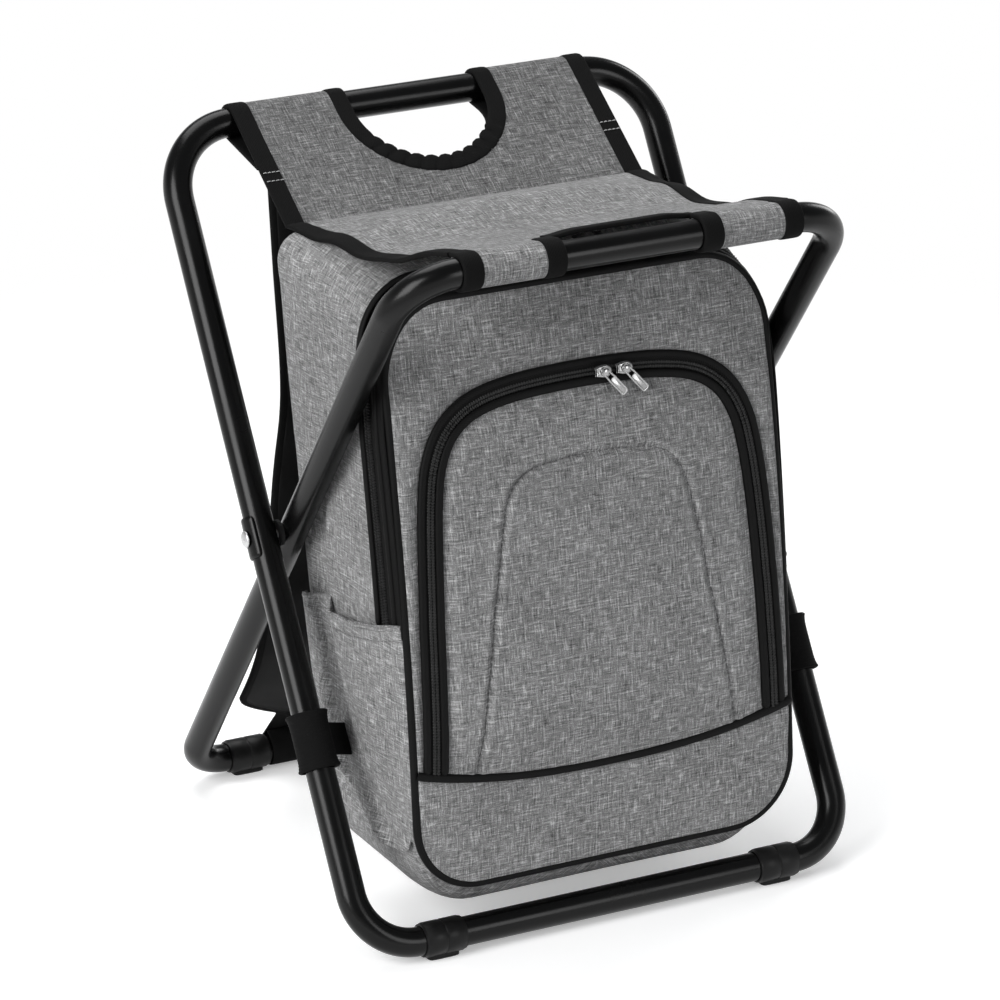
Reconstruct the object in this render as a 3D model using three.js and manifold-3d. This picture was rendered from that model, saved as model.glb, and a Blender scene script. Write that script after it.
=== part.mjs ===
// A folding cooler stool: two steel tube loops crossed at a pivot, a cloth seat slung between
// their top bars, and an insulated backpack that hangs between the legs.
// Millimetres, +Z up, -Y is the front. The origin is on the floor under the middle of the stool.

import * as THREE from 'three';
import { mergeVertices } from 'three/addons/utils/BufferGeometryUtils.js';
import Module from 'manifold-3d';

const wasm = await Module();
wasm.setup();

// Clearances.
const seatGap = 0.3;
const cutOverrun = 5;

// Frame tubes.
const tubeRadius = 9.5;
const tubeWall = 1.2;
const tubeSides = 16;
const bendSteps = 6;
const outerFrameWidth = 350;
const legSpacing = 2.8;
const pivotHeight = 243;
const outerTilt = THREE.MathUtils.degToRad(32.3);
const innerTilt = THREE.MathUtils.degToRad(36.2);
const rearBarHeight = 471;
const frontBarHeight = 459;
const outerTopBend = 46.8;
const innerTopBend = 36;
const outerFloorBend = 38;
const innerFloorBend = 27;

// Foot sleeves, which join each hoop to its floor tube.
const footWall = 2.2;
const footLength = 29;
const footLip = 1.2;
const footLipRise = 0.5;
const footStop = 1;
const footStopDepth = 1.5;
const footSeamDepth = 0.4;
const footPadWidth = 12;
const footPadLength = 22;
const footPadDrop = 0.8;
const footPadSink = 0.3;
const outerFootInset = 53.5;
const innerFootInset = 42;

// Pivot rivets, their plates and spacers.
const rivetRadius = 3;
const rivetHeadRadius = 5.5;
const rivetHeadHeight = 2.4;
const rivetTailRadius = 4.6;
const rivetTailHeight = 1.6;
const plateLength = 27;
const plateThickness = 1.4;
const plateHalfAngle = THREE.MathUtils.degToRad(52);
const spacerRadius = 9;

// Cloth and webbing.
const clothThickness = 1.6;
const seatBendRoom = 0.2;
const rearStitchSlack = 42;
const sleeveStitchSlack = 0.3;
const sleeveTail = 8;
const sleeveDip = THREE.MathUtils.degToRad(12.8);
const bareBarHalf = 49;
const handleDepth = 62;
const handleStraight = 14;
const creaseForward = 57.5;
const creaseHeight = 426;
const cornerSteps = 6;
const seatSteps = 14;

// Backpack body. Heights and depths of the front and rear panels.
const bagSideRoom = 10.2;
const bagFrontOverhang = 2.5;
const bagFloor = 42;
const bagHeight = 370;
const bagFrontReach = 86;
const bagFrontLean = THREE.MathUtils.degToRad(9);
const bagFrontBow = 9.3;
const bagTopDepth = 137;
const bagBottomDepth = 120;
const bagTopRise = 13.6;
const bagTopCrown = 9;
const bagBottomDrop = 5;
const bagBottomSag = 12;
const bagSagFade = 5;
const bagCorner = 45;
const bagRearCorner = 16;
const bagFlare = 9;
const flareRiseShares = [0.42, 0.75];
const cornerHoldShare = 0.2;
const panelRowCount = 6;
const wallRowCount = 8;
const wallSteps = 6;
const frontThickness = 12;
const frontEdgeRound = 3;
const wallThickness = 5;
const hingeHeight = 217.5;

// Pouches: the open side pockets and the mesh divider inside.
const pouchThickness = 1.3;
const pouchGap = 0.6;
const pouchSideShare = 0.35;
const pouchFootShare = 0.6;
const pouchSteps = 8;
const sidePocketDepth = 7.4;
const sidePocketBottom = 90;
const sidePocketTop = 216;
const sidePocketMouthDrop = 30;
const sidePocketFrontInset = 14;
const sidePocketRearInset = 8;
const dividerDepth = 12;
const dividerBottom = 96;
const dividerTop = 322;
const dividerSideRoom = 21.5;

// Front pocket, a flat padded arch that crosses the cover's fold.
const archSideRoom = 12;
const archBottom = 112;
const archTop = 366;
const archCorner = 84;
const archBulge = 8;
const archEdge = 3;
const archCrownReach = 60;
const archAcross = 10;
const foldRelief = 11;
const foldClear = 2.5;
const foldEdge = 1;

// Main zip tape round the opening, its sliders, and the front pocket's.
const tapeWidth = 15;
const tapeThickness = 1.1;
const tapeSideSteps = 5;
const sliderLength = 11;
const sliderWidth = 8;
const sliderHeight = 3.6;
const sliderNoseShare = 0.7;
const studRadius = 1.2;
const studHeadRadius = 2.3;
const studHeadHeight = 0.8;
const studSides = 10;
const tabLength = 24;
const tabWidth = 6;
const tabThickness = 1.3;
const tabHole = 1.6;
const tabCorner = 2.2;
const tabWaistShare = 0.8;
const tabSteps = 4;
const mainSliderOffset = 22;
const archSliderOffset = 12;
const sliderPitch = 15;
const tabLean = THREE.MathUtils.degToRad(40);

// Webbing loops round the outer legs, and the shoulder straps behind.
const loopHeight = 38;
const loopLevel = 129;
const loopStitchSlack = 12;
const loopThickness = 2.6;
const loopTurn = THREE.MathUtils.degToRad(50);
const loopTailShare = 0.74;
const strapWidth = 58;
const strapPadEndWidth = 64;
const strapPadEndInset = 53;
const strapTaperShare = 0.92;
const strapThickness = 9;
const strapEdgeShare = 0.45;
const strapSeatInset = 36;
const strapEndWidth = 40;
const strapEndInset = 78.2;
const strapBarLoop = 34;
const strapEndRun = 22;
const strapStitchSlack = 4;
const strapSteps = 22;
const strapAcross = 6;

const steel = new THREE.MeshStandardMaterial({ color: 0x17181a, roughness: 0.35, metalness: 0.4 });
const plastic = new THREE.MeshStandardMaterial({ color: 0x141416, roughness: 0.5, metalness: 0 });
const silver = new THREE.MeshStandardMaterial({ color: 0xc8c8c8, roughness: 0.25, metalness: 1 });
const cloth = new THREE.MeshStandardMaterial({ color: 0x8c8c8c, roughness: 0.9, metalness: 0 });
const webbing = new THREE.MeshStandardMaterial({ color: 0x1a1a1b, roughness: 0.85, metalness: 0 });
const mesh = new THREE.MeshStandardMaterial({ color: 0x202021, roughness: 0.95, metalness: 0 });

const stool = new THREE.Group();

// Widths and places worked out from the driving sizes. The inner loop turns inside the outer
// one, and the bag hangs inside both. Each loop lies in a tilted plane through the pivot, so
// its reach along the legs is a height divided by the tilt's cosine.
const footRadius = tubeRadius + seatGap + footWall;
const floorBarHeight = footRadius + footPadDrop;
const sleeveRadius = tubeRadius + seatGap + clothThickness;
const innerFrameWidth = outerFrameWidth - 2 * (2 * tubeRadius + legSpacing);
const seatHalfWidth = outerFrameWidth / 2 - outerTopBend - seatBendRoom;
const seatFrontHalfWidth = innerFrameWidth / 2 - innerTopBend - seatBendRoom;
const bagHalfWidth = innerFrameWidth / 2 - tubeRadius - bagSideRoom;
const bagFrontHalfWidth = bagHalfWidth + bagFrontOverhang;
const archHalfWidth = bagFrontHalfWidth - archSideRoom;
const dividerHalfWidth = bagHalfWidth - dividerSideRoom;
const strapOffset = seatHalfWidth - strapSeatInset;
const strapEndOffset = innerFrameWidth / 2 - strapEndInset;
const outerDown = (pivotHeight - floorBarHeight) / Math.cos(outerTilt);
const outerUp = (rearBarHeight - pivotHeight) / Math.cos(outerTilt);
const innerDown = (pivotHeight - floorBarHeight) / Math.cos(innerTilt);
const innerUp = (frontBarHeight - pivotHeight) / Math.cos(innerTilt);
const rearReach = innerDown * Math.sin(innerTilt) + footRadius;
const frontReach = innerUp * Math.sin(innerTilt) + sleeveRadius;
const pivotY = (frontReach - rearReach) / 2;
const rearBarY = pivotY + outerUp * Math.sin(outerTilt);
const frontBarY = pivotY - innerUp * Math.sin(innerTilt);
const rearFloorY = pivotY + innerDown * Math.sin(innerTilt);
const frontFloorY = pivotY - outerDown * Math.sin(outerTilt);

const outerLoop = new THREE.Group();
outerLoop.position.set(0, pivotY, pivotHeight);
outerLoop.rotation.x = -outerTilt;
stool.add(outerLoop);

const innerLoop = new THREE.Group();
innerLoop.position.set(0, pivotY, pivotHeight);
innerLoop.rotation.x = innerTilt;
stool.add(innerLoop);

// A curve that only has the rings given to it, so a tube gets rings at its bends and none
// along its straight runs.
class RingPath extends THREE.Curve {
  constructor(rings) {
    super();
    this.rings = rings;
    this.steps = rings.length - 1;
  }

  ring(share) {
    return this.rings[Math.round(share * this.steps)];
  }

  getPoint(share) {
    return this.ring(share).point.clone();
  }

  getPointAt(share) {
    return this.getPoint(share);
  }

  getTangentAt(share) {
    return this.ring(share).tangent.clone();
  }
}

// Rings for a tube through the given corners, each bent round an arc of its own radius.
function bentPath(corners, bends) {
  const rings = [];
  const runs = corners.slice(1).map((corner, i) => corner.clone().sub(corners[i]).normalize());
  rings.push({ point: corners[0], tangent: runs[0] });
  bends.forEach((radius, i) => {
    const inward = runs[i];
    const onward = runs[i + 1];
    const turn = inward.angleTo(onward);
    const side = onward.clone().addScaledVector(inward, -Math.cos(turn)).normalize();
    const start = corners[i + 1].clone().addScaledVector(inward, -radius * Math.tan(turn / 2));
    for (let step = 0; step <= bendSteps; step += 1) {
      const angle = turn * step / bendSteps;
      const point = start.clone().addScaledVector(inward, radius * Math.sin(angle));
      point.addScaledVector(side, radius * (1 - Math.cos(angle)));
      const tangent = inward.clone().multiplyScalar(Math.cos(angle));
      tangent.addScaledVector(side, Math.sin(angle));
      rings.push({ point, tangent });
    }
  });
  rings.push({ point: corners[corners.length - 1], tangent: runs[runs.length - 1] });
  return new RingPath(rings);
}

const mix = THREE.MathUtils.lerp;
const hump = (share) => 4 * share * (1 - share);

function circle(radius) {
  return new THREE.Shape().absarc(0, 0, radius, 0, 2 * Math.PI, false);
}

function hollowTube(path, radius, wall) {
  const section = circle(radius);
  section.holes.push(new THREE.Path().absarc(0, 0, radius - wall, 0, 2 * Math.PI, true));
  return new THREE.ExtrudeGeometry(section, {
    steps: path.steps,
    curveSegments: tubeSides / 2,
    extrudePath: path,
  });
}

// A closed indexed mesh with shared corners and its faces turned outwards.
function sealed(geometry) {
  const bare = geometry.clone();
  bare.deleteAttribute('normal');
  bare.deleteAttribute('uv');
  const merged = mergeVertices(bare);
  const position = merged.attributes.position;
  const index = merged.index.array;
  const corner = (i) => new THREE.Vector3().fromBufferAttribute(position, index[i]);
  let volume = 0;
  for (let i = 0; i < index.length; i += 3) {
    volume += corner(i).dot(corner(i + 1).cross(corner(i + 2)));
  }
  if (volume < 0) {
    for (let i = 0; i < index.length; i += 3) {
      [index[i], index[i + 1]] = [index[i + 1], index[i]];
    }
  }
  return merged;
}

function toSolid(geometry) {
  const closed = sealed(geometry);
  return new wasm.Manifold(new wasm.Mesh({
    numProp: 3,
    vertProperties: new Float32Array(closed.attributes.position.array),
    triVerts: new Uint32Array(closed.index.array),
  }));
}

function toGeometry(solid) {
  const result = solid.getMesh();
  const geometry = new THREE.BufferGeometry();
  geometry.setAttribute('position', new THREE.BufferAttribute(result.vertProperties, 3));
  geometry.setIndex(new THREE.BufferAttribute(result.triVerts, 1));
  return geometry;
}

function cut(geometry, ...cutters) {
  return toGeometry(cutters.reduce((solid, one) => solid.subtract(toSolid(one)), toSolid(geometry)));
}

function joined(geometry, ...more) {
  return toGeometry(more.reduce((solid, one) => solid.add(toSolid(one)), toSolid(geometry)));
}

function addPiece(name, geometry, material, parent = stool) {
  const piece = new THREE.Mesh(sealed(geometry), material.clone());
  piece.name = name;
  parent.add(piece);
  return piece;
}

// A box divided into a grid and then formed: place() gets shares of the way across, through
// and up, each from 0 to 1, and gives the point in space.
function formedSlab(across, through, up, place) {
  const geometry = new THREE.BoxGeometry(1, 1, 1, across, through, up);
  const position = geometry.attributes.position;
  const half = 1 / 2;
  for (let i = 0; i < position.count; i += 1) {
    const point = place(position.getX(i) + half, position.getY(i) + half, position.getZ(i) + half);
    position.setXYZ(i, point.x, point.y, point.z);
  }
  return geometry;
}

// Extrudes a side view drawn as (y, z) along X, from the left edge to the right edge.
function extrudeAlongX(sideView, left, right, steps = 1) {
  const geometry = new THREE.ExtrudeGeometry(sideView, {
    depth: right - left,
    steps,
    curveSegments: cornerSteps * 2,
    bevelEnabled: false,
  });
  const turned = new THREE.Matrix4().makeBasis(
    new THREE.Vector3(0, 1, 0),
    new THREE.Vector3(0, 0, 1),
    new THREE.Vector3(1, 0, 0),
  );
  return geometry.applyMatrix4(turned).translate(left, 0, 0);
}

// Frames, feet and pivots.
function hoop(width, down, up, topBend, bottomBend, footInset) {
  const half = width / 2;
  const end = half - footInset + footStop / 2 + seatGap;
  const corners = [
    new THREE.Vector3(-end, 0, -down),
    new THREE.Vector3(-half, 0, -down),
    new THREE.Vector3(-half, 0, up),
    new THREE.Vector3(half, 0, up),
    new THREE.Vector3(half, 0, -down),
    new THREE.Vector3(end, 0, -down),
  ];
  const path = bentPath(corners, [bottomBend, topBend, topBend, bottomBend]);
  const pivotHole = new THREE.CylinderGeometry(
    rivetRadius + seatGap,
    rivetRadius + seatGap,
    width + 2 * tubeRadius + cutOverrun,
    tubeSides,
  );
  pivotHole.rotateZ(Math.PI / 2);
  return cut(hollowTube(path, tubeRadius, tubeWall), pivotHole);
}

function floorTube(width, down, footInset) {
  const end = width / 2 - footInset - footStop / 2 - seatGap;
  const corners = [new THREE.Vector3(-end, 0, -down), new THREE.Vector3(end, 0, -down)];
  return hollowTube(bentPath(corners, []), tubeRadius, tubeWall);
}

// A moulded sleeve with a lip at each mouth, a seam and an inner stop between the two tube
// ends, and a flat pad under it.
function footSleeve() {
  const bore = tubeRadius + seatGap;
  const half = footLength / 2;
  const stop = footStop / 2;
  const profile = [
    [bore, -half],
    [footRadius - footLipRise, -half],
    [footRadius, -half + footLip],
    [footRadius, -footLip],
    [footRadius - footSeamDepth, 0],
    [footRadius, footLip],
    [footRadius, half - footLip],
    [footRadius - footLipRise, half],
    [bore, half],
    [bore, stop],
    [bore - footStopDepth, stop],
    [bore - footStopDepth, -stop],
    [bore, -stop],
    [bore, -half],
  ].map(([radius, along]) => new THREE.Vector2(radius, along));
  const sleeve = new THREE.LatheGeometry(profile, tubeSides).rotateZ(Math.PI / 2);
  const padTop = -(bore + footPadSink);
  const pad = new THREE.BoxGeometry(footPadLength, footPadWidth, floorBarHeight + padTop);
  pad.translate(0, 0, (padTop - floorBarHeight) / 2);
  return joined(sleeve, pad);
}

function rivet(side) {
  const outside = outerFrameWidth / 2 + tubeRadius + seatGap + plateThickness + seatGap;
  const inside = innerFrameWidth / 2 - tubeRadius - seatGap;
  const dome = [];
  for (let step = 0; step <= cornerSteps; step += 1) {
    const angle = Math.PI / 2 * step / cornerSteps;
    const radius = rivetHeadRadius * Math.cos(angle);
    dome.push(new THREE.Vector2(Math.max(radius, 0), outside + rivetHeadHeight * Math.sin(angle)));
  }
  dome[dome.length - 1].x = 0;
  const profile = [
    new THREE.Vector2(0, inside - rivetTailHeight),
    new THREE.Vector2(rivetTailRadius, inside - rivetTailHeight),
    new THREE.Vector2(rivetTailRadius, inside),
    new THREE.Vector2(rivetRadius, inside),
    new THREE.Vector2(rivetRadius, outside),
    ...dome,
  ];
  const body = new THREE.LatheGeometry(profile, tubeSides);
  return body.rotateZ(-side * Math.PI / 2);
}

// A saddle plate curved round the outside of the leg, under the rivet's head.
function pivotPlate(side) {
  const inner = tubeRadius + seatGap;
  const outer = inner + plateThickness;
  const section = new THREE.Shape();
  section.absarc(0, 0, outer, -plateHalfAngle, plateHalfAngle, false);
  section.absarc(0, 0, inner, plateHalfAngle, -plateHalfAngle, true);
  const plate = new THREE.ExtrudeGeometry(section, {
    depth: plateLength,
    curveSegments: cornerSteps,
    bevelEnabled: false,
  });
  plate.translate(0, 0, -plateLength / 2);
  const hole = new THREE.CylinderGeometry(
    rivetRadius + seatGap,
    rivetRadius + seatGap,
    outer * 2,
    tubeSides,
  );
  hole.rotateZ(Math.PI / 2).translate(outer, 0, 0);
  const drilled = cut(plate, hole);
  if (side < 0) {
    drilled.rotateZ(Math.PI);
  }
  return drilled.translate(side * outerFrameWidth / 2, 0, 0);
}

function spacer(side) {
  const half = legSpacing / 2 - seatGap;
  const bore = rivetRadius + seatGap;
  const profile = [
    new THREE.Vector2(bore, -half),
    new THREE.Vector2(spacerRadius, -half),
    new THREE.Vector2(spacerRadius, half),
    new THREE.Vector2(bore, half),
    new THREE.Vector2(bore, -half),
  ];
  const middle = (innerFrameWidth / 2 + tubeRadius) + legSpacing / 2;
  return new THREE.LatheGeometry(profile, tubeSides).rotateZ(Math.PI / 2).translate(side * middle, 0, 0);
}

addPiece(
  'outer_hoop',
  hoop(outerFrameWidth, outerDown, outerUp, outerTopBend, outerFloorBend, outerFootInset),
  steel,
  outerLoop,
);
addPiece('outer_floor_tube', floorTube(outerFrameWidth, outerDown, outerFootInset), steel, outerLoop);
addPiece(
  'inner_hoop',
  hoop(innerFrameWidth, innerDown, innerUp, innerTopBend, innerFloorBend, innerFootInset),
  steel,
  innerLoop,
);
addPiece('inner_floor_tube', floorTube(innerFrameWidth, innerDown, innerFootInset), steel, innerLoop);

for (const [label, side] of [['left', -1], ['right', 1]]) {
  const outerFoot = addPiece(`outer_foot_${label}`, footSleeve(), plastic);
  outerFoot.position.set(side * (outerFrameWidth / 2 - outerFootInset), frontFloorY, floorBarHeight);
  const innerFoot = addPiece(`inner_foot_${label}`, footSleeve(), plastic);
  innerFoot.position.set(side * (innerFrameWidth / 2 - innerFootInset), rearFloorY, floorBarHeight);
  addPiece(`pivot_rivet_${label}`, rivet(side), silver, outerLoop);
  addPiece(`pivot_plate_${label}`, pivotPlate(side), steel, outerLoop);
  addPiece(`pivot_spacer_${label}`, spacer(side), plastic, outerLoop);
}

// Side view of cloth wrapped round a bar at the origin and stitched back on itself. The upper
// layer runs along +x, tangent to the bar, to the end of its tail. The slack is how much further
// out the stitching lies than the tightest wrap has it.
function wrapSection(slack, tail, thickness = clothThickness) {
  const inner = tubeRadius + seatGap;
  const outer = inner + thickness;
  const stitch = Math.sqrt(outer ** 2 - inner ** 2) + slack;
  const lowerTangent = (x, y, radius) => Math.atan2(y, x) - Math.acos(radius / Math.hypot(x, y));
  const outerAngle = lowerTangent(stitch, inner, outer);
  const holeTip = stitch - 2 * thickness;
  const innerAngle = lowerTangent(holeTip, inner, inner);
  const section = new THREE.Shape();
  section.moveTo(tail, inner);
  section.lineTo(tail, outer);
  section.lineTo(0, outer);
  section.absarc(0, 0, outer, Math.PI / 2, 2 * Math.PI + outerAngle, false);
  section.lineTo(stitch, inner);
  section.closePath();
  const hole = new THREE.Path();
  hole.moveTo(holeTip, inner);
  hole.lineTo(0, inner);
  hole.absarc(0, 0, inner, Math.PI / 2, 2 * Math.PI + innerAngle, false);
  hole.closePath();
  section.holes.push(hole);
  return section;
}

// Turns a wrap drawn round the origin so that its tail ends at a given point, both as (y, z).
function wrapPlacement(bar, target) {
  const reach = target.clone().sub(bar);
  const offset = tubeRadius + seatGap + clothThickness / 2;
  const mirrored = reach.x > 0 ? 1 : -1;
  const swing = Math.asin(offset / reach.length());
  const angle = Math.atan2(reach.y, reach.x) - mirrored * swing;
  const along = new THREE.Vector2(Math.cos(angle), Math.sin(angle));
  const up = new THREE.Vector2(-along.y, along.x).multiplyScalar(mirrored);
  return { along, up, tail: reach.dot(along) };
}

function wrappedCloth(bar, { along, up, tail }, slack, left, right, cutters = []) {
  let geometry = extrudeAlongX(wrapSection(slack, tail), left, right);
  if (cutters.length > 0) {
    geometry = cut(geometry, ...cutters);
  }
  const placed = new THREE.Matrix4().makeBasis(
    new THREE.Vector3(1, 0, 0),
    new THREE.Vector3(0, along.x, along.y),
    new THREE.Vector3(0, up.x, up.y),
  );
  placed.setPosition(0, bar.x, bar.y);
  return geometry.applyMatrix4(placed);
}

// The hand hole: straight sides from the bar, closed by half an ellipse.
function handleCutter() {
  const opening = new THREE.Shape();
  opening.moveTo(-bareBarHalf, -tubeRadius - cutOverrun);
  opening.lineTo(bareBarHalf, -tubeRadius - cutOverrun);
  opening.lineTo(bareBarHalf, handleStraight);
  opening.absellipse(0, handleStraight, bareBarHalf, handleDepth - handleStraight, 0, Math.PI, false, 0);
  opening.closePath();
  const cutter = new THREE.ExtrudeGeometry(opening, {
    depth: 2 * (sleeveRadius + cutOverrun),
    curveSegments: cornerSteps * 2,
    bevelEnabled: false,
  });
  return cutter.translate(0, 0, -sleeveRadius - cutOverrun);
}

const rearBar = new THREE.Vector2(rearBarY, rearBarHeight);
const frontBar = new THREE.Vector2(frontBarY, frontBarHeight);
const crease = new THREE.Vector2(pivotY + creaseForward, creaseHeight);
const rearWrap = wrapPlacement(rearBar, crease);
addPiece(
  'seat_rear_panel',
  wrappedCloth(rearBar, rearWrap, rearStitchSlack, -seatHalfWidth, seatHalfWidth, [handleCutter()]),
  cloth,
);

// A point down a line from start to end, moved sideways: both shares are of its length.
function routePoint(start, end, [along, aside]) {
  const run = end.clone().sub(start);
  const side = new THREE.Vector2(run.y, -run.x);
  return start.clone().addScaledVector(run, along).addScaledVector(side, aside);
}

// A band that follows a route drawn in a side view. Its middle, width and thickness can all
// change along it.
function band(path, acrossSteps, alongSteps, shape) {
  return formedSlab(acrossSteps, 1, alongSteps, (across, through, along) => {
    const point = path.getPoint(along);
    const tangent = path.getTangent(along);
    const { middle, width, thickness } = shape(across, along);
    const offset = thickness * (through - 1 / 2);
    return new THREE.Vector3(
      middle + width * (across - 1 / 2),
      point.x + tangent.y * offset,
      point.y - tangent.x * offset,
    );
  });
}

// The front half of the seat: from the crease over the bag, dipping in front of it, and up to
// the sleeves on the front bar. The route's shares go along and above the straight line.
const seatRouteShares = [[0, 0], [0.235, 0.012], [0.447, -0.05], [0.63, -0.042], [0.842, -0.01], [1, 0]];
const frontWrap = {
  along: new THREE.Vector2(Math.cos(sleeveDip), -Math.sin(sleeveDip)),
  up: new THREE.Vector2(Math.sin(sleeveDip), Math.cos(sleeveDip)),
  tail: sleeveTail,
};
const tailTip = frontBar.clone().addScaledVector(frontWrap.along, sleeveTail + 2 * seatGap);
tailTip.addScaledVector(frontWrap.up, sleeveRadius - clothThickness / 2);
const creaseStart = new THREE.Vector2(crease.x - clothThickness, crease.y + seatGap);
const seatPoints = seatRouteShares.map((share) => routePoint(creaseStart, tailTip, share));
addPiece(
  'seat_front_panel',
  band(new THREE.SplineCurve(seatPoints), 2, seatSteps, (across, along) => ({
    middle: 0,
    width: 2 * mix(seatHalfWidth, seatFrontHalfWidth, along),
    thickness: clothThickness,
  })),
  cloth,
);

// The padded shoulder straps hang behind the bag, from under the rear stitching to webbing
// loops on the rear floor bar, which they meet end to end.
const strapRouteShares = [[0, 0], [0.144, 0.046], [0.336, 0.106], [0.497, 0.103], [0.788, 0.1]];
const rearFloorBar = new THREE.Vector2(rearFloorY, floorBarHeight);
const strapFoot = new THREE.Vector2(rearFloorY - strapBarLoop / 2, floorBarHeight + strapBarLoop);
const strapWrap = wrapPlacement(rearFloorBar, strapFoot);

// The strap's top end is cut square, so it is lowered until its upper corner just clears the
// panel above.
function strapRoute() {
  const seat = rearBar.clone().addScaledVector(rearWrap.along, sleeveRadius / 2 + rearStitchSlack);
  seat.addScaledVector(rearWrap.up, tubeRadius);
  const first = routePoint(seat, strapFoot, strapRouteShares[1]).sub(seat).normalize();
  const rise = Math.abs(first.cross(rearWrap.up)) * strapThickness / 2;
  const top = seat.addScaledVector(rearWrap.up, -rise);
  const points = strapRouteShares.map((share) => routePoint(top, strapFoot, share));
  for (const before of [strapEndRun, 2 * seatGap]) {
    points.push(strapFoot.clone().addScaledVector(strapWrap.along, before));
  }
  return new THREE.SplineCurve(points);
}
const strapPath = strapRoute();

// The pad drifts outwards and widens on its way down, then narrows to the webbing's width.
function strapShape(side, across, along) {
  const down = Math.min(along / strapTaperShare, 1);
  const taper = THREE.MathUtils.smoothstep(along, strapTaperShare, 1);
  const padMiddle = mix(strapOffset, innerFrameWidth / 2 - strapPadEndInset, down);
  return {
    middle: side * mix(padMiddle, strapEndOffset, taper),
    width: mix(mix(strapWidth, strapPadEndWidth, down), strapEndWidth, taper),
    thickness: strapThickness * mix(strapEdgeShare, 1, Math.sin(Math.PI * across)),
  };
}

for (const [label, side] of [['left', -1], ['right', 1]]) {
  const near = side * bareBarHalf;
  const far = side * seatFrontHalfWidth;
  addPiece(
    `front_sleeve_${label}`,
    wrappedCloth(frontBar, frontWrap, sleeveStitchSlack, Math.min(near, far), Math.max(near, far)),
    cloth,
  );
  addPiece(
    `shoulder_strap_${label}`,
    band(strapPath, strapAcross, strapSteps, (across, along) => strapShape(side, across, along)),
    webbing,
  );
  const loopMiddle = side * strapEndOffset;
  addPiece(
    `strap_loop_${label}`,
    wrappedCloth(
      rearFloorBar,
      strapWrap,
      strapStitchSlack,
      loopMiddle - strapEndWidth / 2,
      loopMiddle + strapEndWidth / 2,
    ),
    webbing,
  );
  addPiece(`leg_loop_${label}`, legLoop(side), webbing, outerLoop);
}

// A webbing loop round the outer leg. Its tail runs inwards and to the rear, and is sewn to
// the bag's side pocket.
function legLoop(side) {
  const pocketUp = (loopLevel + loopHeight / 2 - sidePocketBottom) / (sidePocketTop - sidePocketBottom);
  const pocketOut = standOff(sidePocketDepth, loopTailShare, pocketUp) + pouchThickness;
  const reach = outerFrameWidth / 2 - bagHalfWidth - pocketOut - seatGap;
  const outer = tubeRadius + seatGap + loopThickness;
  const tail = (reach - outer * Math.sin(loopTurn)) / Math.cos(loopTurn);
  const geometry = new THREE.ExtrudeGeometry(wrapSection(loopStitchSlack, tail, loopThickness), {
    depth: loopHeight,
    curveSegments: cornerSteps * 2,
    bevelEnabled: false,
  });
  const placed = new THREE.Matrix4().makeBasis(
    new THREE.Vector3(-side * Math.cos(loopTurn), Math.sin(loopTurn), 0),
    new THREE.Vector3(-side * Math.sin(loopTurn), -Math.cos(loopTurn), 0),
    new THREE.Vector3(0, 0, 1),
  );
  const level = (loopLevel - pivotHeight) / Math.cos(outerTilt) - loopHeight / 2;
  placed.setPosition(side * outerFrameWidth / 2, 0, level);
  return geometry.applyMatrix4(placed);
}

// The bag's body is a rounded box that leans back. up and back are shares of its height and
// of its depth there; the front bows forward, the top is crowned and the bottom sags.
const bagTopFrontY = pivotY - bagFrontReach;
const bagFloorFrontY = bagTopFrontY - bagHeight * Math.tan(bagFrontLean);
const hingeUp = (hingeHeight - bagFloor) / bagHeight;

function bagFrontY(up) {
  return mix(bagFloorFrontY, bagTopFrontY, up) - bagFrontBow * hump(up);
}

function bagRearY(up) {
  return mix(bagFloorFrontY + bagBottomDepth, bagTopFrontY + bagTopDepth, up);
}

function bagZ(up, back) {
  const low = bagFloor - bagBottomDrop * back;
  const sag = bagBottomSag * Math.sin(Math.PI * Math.sqrt(back)) * (1 - up) ** bagSagFade;
  const high = bagFloor + bagHeight + bagTopRise * back + bagTopCrown * hump(back);
  return mix(low, high, up) - sag;
}

function bagDepth(up) {
  return bagRearY(up) - bagFrontY(up);
}

// How far a side stands out at the rear, where the bag is fullest.
function flare(up, back) {
  return bagFlare * back * THREE.MathUtils.smoothstep(up, ...flareRiseShares);
}

function bagPoint(x, up, back) {
  return new THREE.Vector3(x, mix(bagFrontY(up), bagRearY(up), back), bagZ(up, back));
}

// Depth shares where the walls start behind the front and stop before the back panel.
function wallShare(up, through, behindFront = frontThickness + seatGap) {
  const depth = bagDepth(up);
  return mix(behindFront / depth, 1 - (wallThickness + seatGap) / depth, through);
}

// Rows of a panel with rounded corners at its bottom, its top or both, drawn in by an inset.
function panelRows({ low, high, halfWidth, corner, roundLow, roundHigh, straightRows }, inset) {
  const radius = corner - inset;
  const arc = [...Array(cornerSteps + 1).keys()].map((step) => {
    const angle = Math.PI / 2 * step / cornerSteps;
    return {
      rise: inset + radius * (1 - Math.cos(angle)),
      half: halfWidth - corner + radius * Math.sin(angle),
    };
  });
  const start = roundLow ? low + corner : low;
  const stop = roundHigh ? high - corner : high;
  const straight = [...Array(straightRows + 1).keys()].map((row) => ({
    height: mix(start, stop, row / straightRows),
    half: halfWidth - inset,
  }));
  const bottom = roundLow ? arc.slice(0, -1).map(({ rise, half }) => ({ height: low + rise, half })) : [];
  const top = roundHigh ? arc.slice(0, -1).map(({ rise, half }) => ({ height: high - rise, half })) : [];
  return [...bottom, ...straight, ...top.reverse()];
}

// A padded panel of the bag's front, with a rounded outer edge.
const edgeInsetShares = [1, 0.25, 0, 0];
const edgeDepthShares = [0, 0.12, 0.35, 1];

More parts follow.
